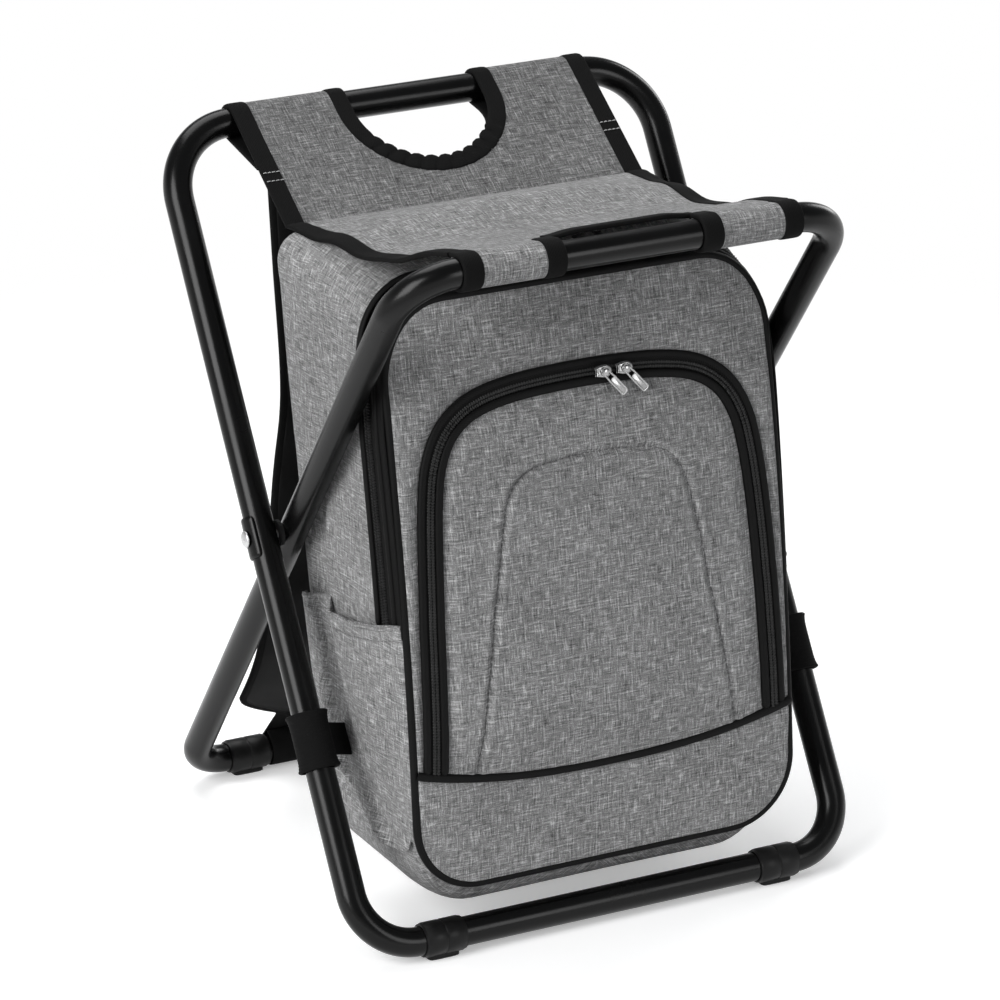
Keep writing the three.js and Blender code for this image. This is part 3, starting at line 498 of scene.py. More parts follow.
def foil_lining():
    """Pale grey coated lining with soft crinkles."""
    shader = Shader("lining_grey", Roughness=0.5, Specular_IOR_Level=0.45, Sheen_Weight=0.05)
    crinkle = shader.noise(55, 5.0, 0.6)
    shader.ramp("Base Color", crinkle, (0.3, 150), (0.72, 178))
    under = shader.bump(shader.noise((900, 300), 1.5), 0.0001, 0.4)
    shader.bump(crinkle, 0.0016, 0.5, under)
    return shader.material


def netting(name, level):
    """Knitted mesh: dark threads round small hexagon holes."""
    shader = Shader(name, Roughness=0.85, Specular_IOR_Level=0.3, Sheen_Weight=0.1)
    hole = shader.add("ShaderNodeTexVoronoi", {"Vector": shader.mapped((620, 430)), "Scale": 1.0,
                                               "Randomness": 0.12},
                      feature="DISTANCE_TO_EDGE").outputs["Distance"]
    shader.ramp("Base Color", hole, (0.1, level * 1.7), (0.26, level * 0.45))
    under = shader.bump(shader.noise(1500, 1.0), 0.0001, 0.3)
    shader.bump(shader.math("MULTIPLY", hole, -1.0), 0.0012, 0.7, under)
    return shader.material


cloth = heather("cloth_heather", 50, 121, 218)
# The same heather cloth made darker: painted shade for the seat's rear panel.
cloth_painted_shade = heather("cloth_heather_painted_shade", 38, 100, 188)
binding = ribbed("binding_black", 15)
webbing = ribbed("webbing_black", 14)
piping = ribbed("piping_black", 15, 0.9, 0.00015, 0.55)
zip_tape = ribbed("zip_tape_black", 15, 0.8, 0.0002, 0.7)
strap_cloth = ribbed("strap_fabric", 15, 0.7, 0.0001, 0.5)
thread = ribbed("thread_grey", 92, 0.6, 0.0001, 0.7)
thread_pale = ribbed("thread_pale", 150, 0.6, 0.0001, 0.7)
zip_coil = moulded("zip_coil_black", 30, 0.38)
plastic = moulded("plastic_black", 15, 0.42)
rivet_metal = plated("rivet_plate", 205, 0.28)
zip_metal = plated("zip_nickel", 168, 0.24)
steel = coated_steel()
lining = foil_lining()
net = netting("mesh_black", 30)
strap_net = netting("strap_mesh", 34)


# What each piece rides on

def riding(piece, body, slot, *nodes):
    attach(piece, body)
    if nodes:
        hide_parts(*nodes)
    return piece


def bending(piece, slot, to, start, end, *nodes):
    """A piece moved into world space, with the given CAD parts hidden; slot, to, start and end are not
    used, so it does not bend.
    """
    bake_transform(piece)
    if nodes:
        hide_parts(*nodes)
    return piece


def on_cover(piece, slot, *nodes):
    """A piece of the front, baked in place; the fold at the cover's hinge is not applied."""
    start, end = [(0, HINGE[0] * MM, (HINGE[1] + reach) * MM) for reach in (-FOLD_REACH, FOLD_REACH)]
    return bending(piece, slot, "front_cover", start, end, *nodes)


def on_seat(piece, slot, *nodes):
    """A piece of the seat's front half, from the crease to the front bar."""
    return bending(piece, slot, "inner_frame", (0, 0.052, 0.43), (0, -0.150, 0.43), *nodes)


def stitches(path, normals, name, length, gap, width, colour=thread):
    """A row of thread stitches as small beads that dip at their ends."""
    reach = distances(path)
    normals = unit(np.broadcast_to(np.asarray(normals, float), path.shape))
    skin = Skin()
    shares = np.array([0, 0.12, 0.35, 0.65, 0.88, 1])
    lift = np.array([-0.35, 0.05, 0.3, 0.3, 0.05, -0.35]) * width + 0.15
    size = np.array([0.45, 0.85, 1, 1, 0.85, 0.45])
    section = oval(width, width * 0.8, 2, 6)
    for start in np.arange(gap / 2, reach[-1] - length, length + gap):
        where = start + shares * length
        out = picked(where, reach, normals)
        skin.sweep(picked(where, reach, path) + out * lift[:, None], section, out, scale=size)
    return skin.build(name, [colour], sharp=80, weld=0.001)


# Frame tubes and fittings

BEND_STEP = 2.5


def bent(corners, bends):
    """A flat path through corners, each rounded by its own radius."""
    corners = np.asarray(corners, float)
    runs = unit(np.diff(corners, axis=0))
    path = [corners[0]]
    for i, radius in enumerate(bends):
        turn = math.acos(np.clip(runs[i] @ runs[i + 1], -1, 1))
        side = unit(runs[i + 1] - runs[i] * math.cos(turn))
        start = corners[i + 1] - runs[i] * radius * math.tan(turn / 2)
        for angle in np.linspace(0, turn, max(6, int(radius * turn / BEND_STEP))):
            path.append(start + radius * (runs[i] * math.sin(angle) + side * (1 - math.cos(angle))))
    return np.array([*path, corners[-1]])


def tube(name, path, normal, body, node):
    skin = Skin().sweep(path, oval(2 * TUBE_RADIUS, 2 * TUBE_RADIUS, 2, 48), normal)
    riding(skin.build(name, [steel]), body, "frame_tube", node)


# Each leg loop: its half width, half foot, lengths below and above the pivot, radii of its low
# and top bends, and tilt.
for which, half, ends, down, up, low_bend, top_bend, tilt in (
        ("outer", OUTER_HALF, 122.3, 272.35, 269.74, 38.0, 46.8, OUTER_TILT),
        ("inner", INNER_HALF, 112.0, 285.27, 267.67, 27.0, 36.0, -INNER_TILT)):
    flat = bent([(-ends, -down), (-half, -down), (-half, up), (half, up), (half, -down), (ends, -down)],
                [low_bend, top_bend, top_bend, low_bend])
    path = np.stack([flat[:, 0], PIVOT[0] + flat[:, 1] * math.sin(tilt),
                     PIVOT[1] + flat[:, 1] * math.cos(tilt)], axis=-1)
    tube(f"{which}_leg_loop", path, (0, math.cos(tilt), -math.sin(tilt)), f"{which}_frame", f"{which}_hoop")
for which, stub, bar in (("outer", 120.7, FRONT_FLOOR_BAR), ("inner", 110.4, REAR_FLOOR_BAR)):
    tube(f"{which}_floor_bar", [(x, *bar) for x in np.linspace(-stub, stub, 24)], (0, 0, 1),
         f"{which}_frame", f"{which}_floor_tube")

FOOT_RADIUS = 11.4
FOOT_LIP = [(1.1, 14.5), (0.6, 14.3), (0.5, 13.6), (0.5, 13.0), (0, 12.4), (0, 1.0), (0.2, 0.5), (0.45, 0)]


def foot(name, node, x, bar, body):
    """A sleeve over the joint of two tubes, with a seam, lips and a pad that it stands on."""
    bore = TUBE_RADIUS + 0.3
    lip = [(FOOT_RADIUS - inset, along) for inset, along in FOOT_LIP]
    end = lip[0][1]
    profile = [(bore, -end), *[(radius, -along) for radius, along in lip], *lip[-2::-1], (bore, end),
               (bore, -end)]
    skin = Skin().lathe(profile, (x, *bar), (1, 0, 0))
    middle = np.array([x, bar[0]])
    rings = [np.column_stack([middle + oval(22, 12, 6, 28) * grow, np.full(28, height)])
             for height, grow in ((0, 0), (0, 0.94), (0.4, 1), (2.4, 1), (3.4, 0.96), (3.4, 0))]
    skin.grid(np.stack(rings), loop=True)
    riding(skin.build(name, [plastic], sharp=50), body, "black_plastic", node)


def pivot_plate(side, label):
    """A pressed saddle plate with rounded corners and soft edges."""
    a, b = np.meshgrid(np.linspace(-1, 1, 25), np.linspace(-1, 1, 25))

    def squeeze(v, w):
        return v * np.sqrt(np.maximum(1 - 0.16 * np.abs(w) ** 10 * np.abs(v) ** 2, 0.1))

    turn = (squeeze(a, b) * math.radians(52))[..., None]
    spoke = np.array([side, 0, 0]) * np.cos(turn) + OUTER_FORWARD * np.sin(turn)
    middle = np.array([side * OUTER_HALF, *PIVOT]) + OUTER_ALONG * (squeeze(b, a) * 13.5)[..., None]
    edge = np.minimum(1 - np.abs(a), 1 - np.abs(b))
    lift = 1.4 - 0.7 * (1 - np.clip(edge / 0.12, 0, 1)) ** 2
    inner = TUBE_RADIUS + 0.3
    skin = Skin().pad(middle + spoke * (inner + lift)[..., None], middle + spoke * inner)
    riding(skin.build(f"saddle_plate_{label}", [steel], sharp=55), "outer_frame", "frame_tube",
           f"pivot_plate_{label}")


def rivet(side, label):
    """A domed rivet through both legs."""
    outside = OUTER_HALF + TUBE_RADIUS + 2.0
    inside = INNER_HALF - TUBE_RADIUS - 0.3
    dome = [(5.5 * math.cos(t), outside + 0.35 + 2.05 * math.sin(t))
            for t in np.linspace(0, math.pi / 2, 12)]
    profile = [(0, inside - 1.6), (3.6, inside - 1.6), (4.3, inside - 1.3), (4.6, inside - 0.8),
               (4.6, inside), (3, inside), (3, outside), (5.2, outside), (5.45, outside + 0.12), *dome]
    skin = Skin().lathe(profile, (0, *PIVOT), (side, 0, 0), sides=40)
    riding(skin.build(f"rivet_{label}", [rivet_metal], sharp=40), "outer_frame", "rivet_steel",
           f"pivot_rivet_{label}")


for side, label in SIDES:
    foot(f"front_foot_{label}", f"outer_foot_{label}", side * 121.5, FRONT_FLOOR_BAR, "outer_frame")
    foot(f"rear_foot_{label}", f"inner_foot_{label}", side * 111.2, REAR_FLOOR_BAR, "inner_frame")
for side, label in SIDES:
    pivot_plate(side, label)
    rivet(side, label)
    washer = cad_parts[f"pivot_spacer_{label}"]
    washer.data.materials.clear()
    washer.data.materials.append(plastic)


# Seat

def wrap_frame(bar, target):
    """The bar, directions and reach of cloth that runs from its top to a target, from the side."""
    reach = target - bar
    ahead = 1 if reach[0] > 0 else -1
    angle = math.atan2(reach[1], reach[0]) - ahead * math.asin(WRAP_RADIUS / np.linalg.norm(reach))
    along = np.array([math.cos(angle), math.sin(angle)])
    return (bar, along, np.array([-along[1], along[0]]) * ahead), float(reach @ along)


def wrap_path(stitch, tail, step):
    """The side view of cloth from its stitching, round the bar and along the top, in (along, up)."""
    tip = np.array([stitch, WRAP_RADIUS - CLOTH])
    angle = math.atan2(tip[1], tip[0]) - math.acos(min(WRAP_RADIUS / np.linalg.norm(tip), 1))
    turn = np.linspace(2 * np.pi + angle, np.pi / 2, 40)
    bow = np.stack([np.cos(turn), np.sin(turn)], axis=1) * WRAP_RADIUS
    return resample(np.vstack([tip, bow, [tail, WRAP_RADIUS]]), step)


def to_space(x, flat, bar, along, up):
    """Points across at x, from (along, up) places round a bar."""
    side = bar + flat[..., :1] * along + flat[..., 1:] * up
    across = np.broadcast_to(np.asarray(x, float)[..., None], side.shape[:-1] + (1,))
    return np.concatenate([across, side], axis=-1)


def wrapped(skin, rim, x, section, way):
    """A band over cloth that is wrapped round a bar, with its middle at x."""
    gap = np.gradient(rim, axis=0)
    outward = unit(np.stack([-gap[:, 1], gap[:, 0]], axis=1))
    return skin.sweep(to_space(x, rim, *way), section, to_space(0.0, outward, np.zeros(2), *way[1:]))


REAR, REAR_TAIL = wrap_frame(REAR_BAR, CREASE)
REAR_ALONG, REAR_UP = REAR[1:]
REAR_STITCH = WRAP_SEAM + 42
BIND = oval(13.0, 3.3, 5, 22)


def hand_hole(p):
    """Half width of the hand hole, a distance from the rear bar."""
    share = np.clip((p - HOLE_START) / HOLE_RISE, 0, 1)
    return np.where(p < HOLE_END, BARE_HALF * np.sqrt(1 - share ** 2), 0.0)


def rear_sag(x, p):
    """The rear panel gives a little between its hand hole and the crease."""
    return -1.4 * smooth(p, 20, REAR_TAIL) * (1 - (x / SEAT_HALF) ** 2)


def rear_point(x, p, q):
    """A point of the rear panel, a distance p from its bar and q over the bar's middle."""
    x, p, q = arrays(x, p, q)
    return to_space(x, np.stack([p, q + rear_sag(x, p)], axis=-1), *REAR)


def seat_rear():
    """The rear half: one sheet round the rear bar, in two parts beside the hand hole."""
    path = wrap_path(REAR_STITCH, REAR_TAIL, 2.6)
    bar_row = int(np.argmax(path[:, 1] + (path[:, 0] < 5)))
    top = np.vstack([path[bar_row:], [(HOLE_END - gap, WRAP_RADIUS) for gap in (0.05, 0.4, 1.1, 2.0, 0)]])
    path = np.vstack([path[:bar_row], top[np.argsort(top[:, 0])]])
    length = distances(path)
    skin = Skin()
    for side in (-1, 1):
        x = mix(hand_hole(path[:, 0])[:, None], SEAT_HALF, np.linspace(0, 1, 36)) * side
        flat = np.broadcast_to(path[:, None], x.shape + (2,)).copy()
        flat[bar_row:, :, 1] += rear_sag(x, flat[..., 0])[bar_row:]
        skin.grid(to_space(x, flat, *REAR), uv=np.stack(arrays(x, length[:, None]), axis=-1))
    # The rear panel takes the darker cloth, whose darker tone is painted shade.
    piece = thicken(skin.build("seat_rear_cloth", [cloth_painted_shade], sharp=80), CLOTH)
    riding(piece, "outer_frame", "grey_cloth", "seat_rear_panel")


def seat_rear_binding():
    """Black tape folded over the rear panel's sides, and gathered round its hand hole."""
    skin = Skin()
    rim = wrap_path(REAR_STITCH - 1, REAR_TAIL + 1, 3.0)
    for side in (-1, 1):
        wrapped(skin, rim, side * (SEAT_HALF - 5.2), BIND, REAR)
    turn = np.linspace(0, np.pi, 90)
    hole = np.stack([BARE_HALF * np.cos(turn), HOLE_START + HOLE_RISE * np.sin(turn)], axis=1)
    start = np.stack([np.full(8, BARE_HALF), np.linspace(-2, 13, 8)], axis=1)
    step = 1.2
    hole = resample(np.vstack([start, hole, start[::-1] * [-1, 1]]), step)
    phase = np.arange(len(hole)) * step * 2 * np.pi / 9.5
    bend = smooth(np.abs(hole[:, 0]), 47, 36)
    away = unit(np.gradient(hole, axis=0))
    outward = np.stack([away[:, 1], -away[:, 0]], axis=1)
    outward *= np.sign(((hole - [0, 20]) * outward).sum(axis=1))[:, None]
    wave = bend * np.sin(phase)
    line = hole + outward * (4.2 + 0.9 * wave)[:, None]
    path = rear_point(*line.T, WRAP_RADIUS + 0.35 * bend * np.sin(phase + 1))
    skin.sweep(path, oval(12.0, 3.4, 4, 22), (0, *REAR_UP), scale=1 - 0.15 * wave)
    riding(skin.build("seat_rear_tape", [binding], sharp=60), "outer_frame", "webbing")


def hand_hole_tape():
    """Tape over the two cloth edges where they wrap the rear bar beside the hand hole."""
    skin = Skin()
    rim = wrap_path(REAR_STITCH - 6, HOLE_START, 2.0)
    for side in (-1, 1):
        wrapped(skin, rim, side * (hand_hole(rim[:, 0]) + 4.2), oval(12.0, 3.5, 4, 22), REAR)
    riding(skin.build("hand_hole_tape", [binding], sharp=60), "outer_frame", "webbing")


def rear_stitching():
    """The rows that close the wrap, and the pale bars that they make over both tapes."""
    for p, height in ((54.0, "high"), (61.0, "low")):
        inner = max(float(hand_hole(p)) + 10, 24)
        for side, label in SIDES:
            for kind, low, high, count, lift, look in (
                    ("bar", SEAT_HALF - 11.8, SEAT_HALF + 1.2, 24, 1.6, (2.6, 0.5, 0.8, thread_pale)),
                    ("row", inner, SEAT_HALF - 13, 60, 0.7, (2.6, 1.2, 0.45))):
                line = rear_point(np.linspace(low, high, count) * side, p, WRAP_RADIUS + lift)
                piece = stitches(line, (0, *REAR_UP), f"seat_{kind}_{height}_{label}", *look)
                riding(piece, "outer_frame", "webbing")


seat_rear()
seat_rear_binding()
rear_stitching()
hand_hole_tape()

SLEEVE_DIP = math.radians(12.8)
FRONT_ALONG = np.array([math.cos(SLEEVE_DIP), -math.sin(SLEEVE_DIP)])
FRONT_UP = np.array([math.sin(SLEEVE_DIP), math.cos(SLEEVE_DIP)])
FRONT = (FRONT_BAR, FRONT_ALONG, FRONT_UP)
SLEEVE_STITCH = WRAP_SEAM + 0.3
SLEEVE_TAIL = 8.6
TAIL_TIP = FRONT_BAR + FRONT_ALONG * SLEEVE_TAIL + FRONT_UP * WRAP_RADIUS
SEAT_SHARES = [(0, 0), (0.235, 0.012), (0.447, -0.05), (0.63, -0.042), (0.842, -0.01), (1, 0)]
# The seat's front half in the side view, from the crease to the sleeves.
SEAT_LINE = spline(route(np.array([50.4, 426.3]), TAIL_TIP, SEAT_SHARES), 4.0)
SEAT_LAST = len(SEAT_LINE) - 1
# How much its side edges hang, at which share of the way and over which share.
SEAT_DROOPS = ((-8.0, 0.19, 0.12), (-1.2, 0.36, 0.10), (-1.5, 0.68, 0.10))


def seat_form(across, row):
    """A point of the seat's front half. across is from -1 to 1, row counts from the crease."""
    across, row = arrays(across, row)
    share = row / SEAT_LAST
    x = across * mix(SEAT_HALF, SEAT_FRONT_HALF, share)
    flat = picked(row, np.arange(SEAT_LAST + 1), SEAT_LINE)
    crown = 3.2 * (1 - across ** 2) * smooth(share, 0.05, 0.3) * (1 - smooth(share, 0.6, 0.98))
    droop = sum(size * bell(share, at, wide) for size, at, wide in SEAT_DROOPS)
    droop = droop * np.abs(across) ** 3 * smooth(share, 0, 0.06)
    dip = -2.6 * bell(share, 0.74, 0.09) * (1 - 0.6 * np.abs(across))
    lip = 2.2 * (1 - smooth(np.abs(x), 30, 52)) * smooth(share, 0.88, 1.0)
    return np.stack([x, flat[..., 0], flat[..., 1] + crown + droop + dip + lip], axis=-1)


def seat_front():
    """The front half: a sheet from the crease that ends in two sleeves round the front bar."""
    inner, sleeve = BARE_HALF / SEAT_FRONT_HALF, 18
    columns = np.concatenate([np.linspace(-1, -inner, sleeve), np.linspace(-inner, inner, 26)[1:-1],
                              np.linspace(inner, 1, sleeve)])
    rows = np.arange(SEAT_LAST + 1)
    sheet = seat_form(columns, rows[:, None])
    length = distances(SEAT_LINE)
    skin = Skin().grid(sheet, uv=np.stack(arrays(sheet[..., 0], -length[:, None]), axis=-1))
    rim = wrap_path(SLEEVE_STITCH, SLEEVE_TAIL, 2.0)[::-1]
    run = distances(rim)
    for part in (columns[:sleeve], columns[-sleeve:]):
        x, down = arrays(part * SEAT_FRONT_HALF, -length[-1] - run[:, None])
        points = to_space(x, np.broadcast_to(rim[:, None], x.shape + (2,)), *FRONT)
        points[0] = seat_form(part, SEAT_LAST)
        skin.grid(points, uv=np.stack([x, down], axis=-1))
    piece = thicken(skin.build("seat_front_cloth", [cloth], sharp=80), CLOTH)
    on_seat(piece, "grey_cloth", "seat_front_panel", "front_sleeve_left", "front_sleeve_right")


def seat_front_binding():
    """Black tape along the seat's edges, and bands at both ends of each sleeve."""
    skin = Skin()
    rows = np.linspace(0, SEAT_LAST, 90)[:, None]
    for side in (-1, 1):
        strip = seat_form(side * (1 - 5.0 / SEAT_HALF + np.array([-0.02, 0, 0.02])), rows)
        normal = unit(np.cross(strip[:, 2] - strip[:, 0], np.gradient(strip[:, 1], axis=0)))
        skin.sweep(strip[:, 1], BIND, normal * np.sign(normal[:, 2:3]))
    across = np.linspace(-BARE_HALF - 2, BARE_HALF + 2, 50) / SEAT_FRONT_HALF
    skin.sweep(seat_form(across, SEAT_LAST - 0.9), oval(11.0, 3.4, 4, 22), (0, *FRONT_UP))
    on_seat(skin.build("seat_front_tape", [binding], sharp=60), "webbing")
    skin = Skin()
    rim = wrap_path(SLEEVE_STITCH + 1, 9, 1.6)
    for side in (-1, 1):
        for x in (BARE_HALF + 5.6, SEAT_FRONT_HALF - 5.8):
            wrapped(skin, rim, side * x, oval(13.5, 3.3, 5, 22), FRONT)
    riding(skin.build("sleeve_tape", [binding], sharp=60), "inner_frame", "webbing")


seat_front()
seat_front_binding()


# The bag's form

def front_y(z):
    up = (z - BAG_FLOOR) / BAG_HEIGHT
    return mix(BAG_FLOOR_FRONT, BAG_TOP_FRONT, up) - 9.3 * hump(up)


def rear_y(up):
    return mix(-30.098, 45.504, up)


def bag_depth(up):
    return rear_y(up) - front_y(BAG_FLOOR + BAG_HEIGHT * up)


BELLY_START = SHELL_START / bag_depth(0.0)


def bag_point(x, up, back):
    """A point by its place across and its shares of the bag's height and depth."""
    x, up, back = arrays(x, up, back)
    low = BAG_FLOOR - 5.0 * back
    high = BAG_FLOOR + BAG_HEIGHT + 13.6 * back + 9.0 * hump(back)
    behind = np.clip((back - BELLY_START) / (1 - BELLY_START), 0, 1)
    belly = BELLY * np.sin(np.pi * behind ** 0.42) * (1 - np.clip(up, 0, 1)) ** 5
    front = front_y(BAG_FLOOR + BAG_HEIGHT * up)
    return np.stack([x, mix(front, rear_y(up), back), mix(low, high, up) - belly], axis=-1)


def flare(up, back):
    """How far a side stands out towards the rear, where the bag is fullest."""
    low = 8.0 * smooth(up, 0.08, 0.3) * (1 - smooth(up, 0.42, 0.75))
    return back * (9.0 * smooth(up, 0.42, 0.75) + low)


def side_fold(y, z):
    """How far a side wall stands out: full in front of its bellows fold, drawn in behind."""
    y = y - BELLOWS_Y
    ahead = 3.4 * smooth(y, -150 - BELLOWS_Y, -85 - BELLOWS_Y) * (1 - smooth(y, -2, 1.5))
    behind = -2.6 * smooth(y, -1, 2) * (1 - smooth(y, 8, 30))
    return (ahead + behind) * smooth(z, 70, 130) * (1 - smooth(z, 330, 392))


def wall_point(x, up, behind):
    """A point of the walls, with the sides' flare and fold, a distance behind the front."""
    back = behind / bag_depth(up)
    points = bag_point(x + np.sign(x) * flare(up, back), up, back)
    hold = np.clip((np.abs(x) - (BAG_HALF - 26)) / 20, 0, 1)
    points[:, 0] += np.sign(x) * hold * side_fold(points[:, 1], points[:, 2])
    return points


def inside_front(x, z):
    """How far inside the front's rounded outline a point is."""
    dx = np.abs(x) - (FRONT_HALF - FRONT_CORNER)
    dz = np.abs(z - BAG_FLOOR - BAG_HEIGHT / 2) - (BAG_HEIGHT / 2 - FRONT_CORNER)
    outside = np.hypot(np.maximum(dx, 0), np.maximum(dz, 0)) + np.minimum(np.maximum(dx, dz), 0)
    return FRONT_CORNER - outside


def front_face(x, z, out=0.0):
    """Points on the bag's front, rolled back at its edges and raised along its top."""
    x, z = arrays(x, z)
    roll = 4.5
    short = np.clip(roll - inside_front(x, z), 0, roll)
    back = roll - np.sqrt(np.maximum(roll ** 2 - short ** 2, 0))
    lift = TOP_LIFT * smooth(z, 375.0, BAG_FLOOR + BAG_HEIGHT)
    return np.stack([x, front_y(z) + back - out, z + lift], axis=-1)


ARCH_SIDE = spline([(130, 110), (129, 135), (128, 168), (126.5, 217), (124, 265), (121, 297), (116.5, 319),
                    (107, 338), (93, 351), (75, 359), (50, 363.5), (22, 365.2), (0, 365.6)], 3.0)
ARCH = both_sides(ARCH_SIDE)
STITCH_LINE = both_sides(spline([(93, 119), (86, 160), (78, 208), (70, 256), (62, 290), (48, 304.5),
                                 (22, 309), (0, 310)], 2.0))


def distance_to(line, x, z):
    """Distance from each (x, z) to a line of points."""
    best = np.full(x.shape, 1e9)
    for a, b in zip(line[:-1], line[1:]):
        run = b - a
        share = np.clip(((x - a[0]) * run[0] + (z - a[1]) * run[1]) / (run @ run), 0, 1)
        best = np.minimum(best, np.hypot(x - a[0] - run[0] * share, z - a[1] - run[1] * share))
    return best


def mid_seam_z(x):
    """Height of the piping across the front, which smiles a little."""
    return 108.5 + 16.0 * (np.abs(x) / 138.0) ** 2.4


def inside_arch(x, z):
    return (np.abs(x) < np.interp(z, ARCH_SIDE[:, 1], ARCH_SIDE[:, 0])) & (z < ARCH_SIDE[-1, 1])


def pocket_rise(x, z):
    """How far the arched pocket's face stands before the front panel: low along its zip."""
    edge = distance_to(ARCH[::3], x, z)
    full = 1.4 + 4.0 * smooth(edge, 13, 26) + 3.2 * smooth(edge, 22, 76)
    full = full * mix(0.3, 1.0, smooth(z - mid_seam_z(x), 0, 34)) * (1 - 0.2 * bell(z, HINGE[1], 9.0))
    seam = distance_to(STITCH_LINE, x, z)
    groove = SEAM_DEPTH * bell(seam, 0, 1.6) - 0.6 * bell(seam, 4.2, 2.0)
    return np.where(inside_arch(x, z), full - groove, 0.0)


# Bag body

# Points of a ring along its floor or top, round a corner and up a side.
RING_STEPS = (46, 12, 60)
CAP_SPINE = (150.0, 330.0)
PANEL_STEP = 3.0


def ring_shape(behind, inset):
    """Places across and shares of height round the bag, for a distance behind the front."""
    flat, turn, rise = RING_STEPS
    corner = mix(FRONT_CORNER, REAR_CORNER, float(np.clip((behind / USUAL_DEPTH - 0.2) / 0.8, 0, 1)))
    radius = max(corner - inset, 1.0)
    angle = np.linspace(0, np.pi / 2, turn, endpoint=False)
    wide = BAG_HALF - corner
    line = np.linspace(-1, 1, flat, endpoint=False) * wide
    falling, rising = corner - radius * np.cos(angle), corner - radius * np.sin(angle)
    low, high = corner, BAG_HEIGHT - corner
    outwards, inwards = wide + radius * np.sin(angle), wide + radius * np.cos(angle)
    x = [line, outwards, np.full(rise, BAG_HALF - inset), inwards,
         -line, -outwards, np.full(rise, inset - BAG_HALF), -inwards]
    up = [np.full(flat, inset), falling, np.linspace(low, high, rise, endpoint=False),
          BAG_HEIGHT - rising, np.full(flat, BAG_HEIGHT - inset), BAG_HEIGHT - falling,
          np.linspace(high, low, rise, endpoint=False), rising]
    return np.concatenate(x), np.concatenate(up) / BAG_HEIGHT


def loft_ring(share, inset):
    """A ring of the shell, a share of the way from its front rim to its back panel."""
    x, up = ring_shape(mix(SHELL_START, USUAL_DEPTH, share), inset)
    depth = bag_depth(up)
    behind = mix(SHELL_START, depth, share)
    roll = np.clip(REAR_ROLL - depth + behind, 0, REAR_ROLL)
    draw = REAR_ROLL - np.sqrt(np.maximum(REAR_ROLL ** 2 - roll ** 2, 0))
    points = wall_point(x, up, behind)
    away = (points - [0, 0, SHELL_MIDDLE]) * [1, 0, 1]
    reach = 0.93 * np.array([BAG_HALF, 1, BAG_HEIGHT / 2])
    pull = unit(np.where(np.abs(away) > reach, np.sign(away), 0))
    return points - pull * draw[:, None]


def shell_map(rings, slot):
    """Rings opened at the middle of the top, their slot, and a map that follows the walls."""
    top = int(np.argmax(rings[0, :, 2] - np.abs(rings[0, :, 0])))
    rings = np.roll(rings, -top, axis=1)
    rings = np.concatenate([rings, rings[:, :1]], axis=1)
    side = np.sign(rings[..., 0])
    side[:, 0], side[:, -1] = side[:, 1], side[:, -2]
    wide = np.minimum(np.abs(rings[..., 0]), BAG_HALF)
    rise = rings[..., 2] - BAG_FLOOR
    way = side * (rise + np.where(rise < BAG_HEIGHT / 2, wide, 2 * BAG_HALF - wide))
    return rings, slot, np.stack([rings[..., 1] - front_y(rings[..., 2]), way], axis=-1)


def rear_cap(ring, bulge):
    """Rings that close the shell's end, fuller in the middle."""
    order = np.argsort(ring[:, 2])
    bins = np.linspace(ring[order[0], 2], ring[order[-1], 2], 30)
    depth = np.interp(bins, ring[order, 2], ring[order, 1])
    spine = ring.copy()
    spine[:, 0] = 0
    spine[:, 2] = np.clip(ring[:, 2], *CAP_SPINE)
    rings = [ring]
    for share in np.linspace(0, 1, 26)[1:]:
        one = mix(ring, spine, share)
        one[:, 1] = np.interp(one[:, 2], bins, depth) + bulge * (1 - (1 - share) ** 2)
        rings.append(one)
    return np.stack(rings)


def bag_body():
    """The lofted shell: cloth outside, lining inside, joined at its front rim."""
    stations = np.concatenate([[0, 0.0006, 0.002, 0.005], np.linspace(0.01, 0.9, 89),
                               np.linspace(0.92, 1, 8)])
    outer, inner = [np.stack([loft_ring(share, inset) for share in stations]) for inset in (0.0, WALL)]
    puff = wrinkle(outer, 70, 3.1) * 0.9 + wrinkle(outer, 26, 7.7) * 0.35
    hold = np.minimum(stations / 0.12, 1) * np.minimum((1 - stations) / 0.12 + 0.15, 1)
    away = (outer - outer.mean(axis=1, keepdims=True)) * [1, 0, 1]
    outer = outer + unit(away) * (puff * hold[:, None])[..., None]
    inner[:, :, 1] -= (np.clip(stations - 0.85, 0, 1) / 0.15 * WALL)[:, None]
    skin = Skin()
    for slot, rings, bulge in ((0, outer, 2.5), (1, inner, 1.0)):
        skin.grid(*shell_map(rings, slot))
        back = rear_cap(rings[-1], bulge)
        skin.grid(back, slot, uv=back[..., [0, 2]], loop=True)
    lip = np.stack([outer[0], mix(outer[0], inner[0], 0.5) + [0, -0.3, 0], inner[0]])
    skin.grid(lip, 2, loop=True)
    piece = skin.build("bag_shell", [cloth, lining, binding], sharp=55)
    riding(piece, "outer_frame", "grey_cloth", "bag_back_panel", "bag_top_strip", "bag_bottom_strip",
           "bag_side_left", "bag_side_right")


def panel_rows():
    """Heights and half widths of the front's rows, close together round its corners."""
    angle = np.linspace(0, np.pi / 2, 13)[:-1]
    rise = FRONT_CORNER * (1 - np.cos(angle))
    wide = FRONT_HALF - FRONT_CORNER * (1 - np.sin(angle))
    low, high = BAG_FLOOR, BAG_FLOOR + BAG_HEIGHT
    count = int(round((BAG_HEIGHT - 2 * FRONT_CORNER) / PANEL_STEP)) + 1
    middle = np.linspace(low + FRONT_CORNER, high - FRONT_CORNER, count)
    return (np.concatenate([low + rise, middle, (high - rise)[::-1]]),
            np.concatenate([wide, np.full(count, FRONT_HALF), wide[::-1]]))


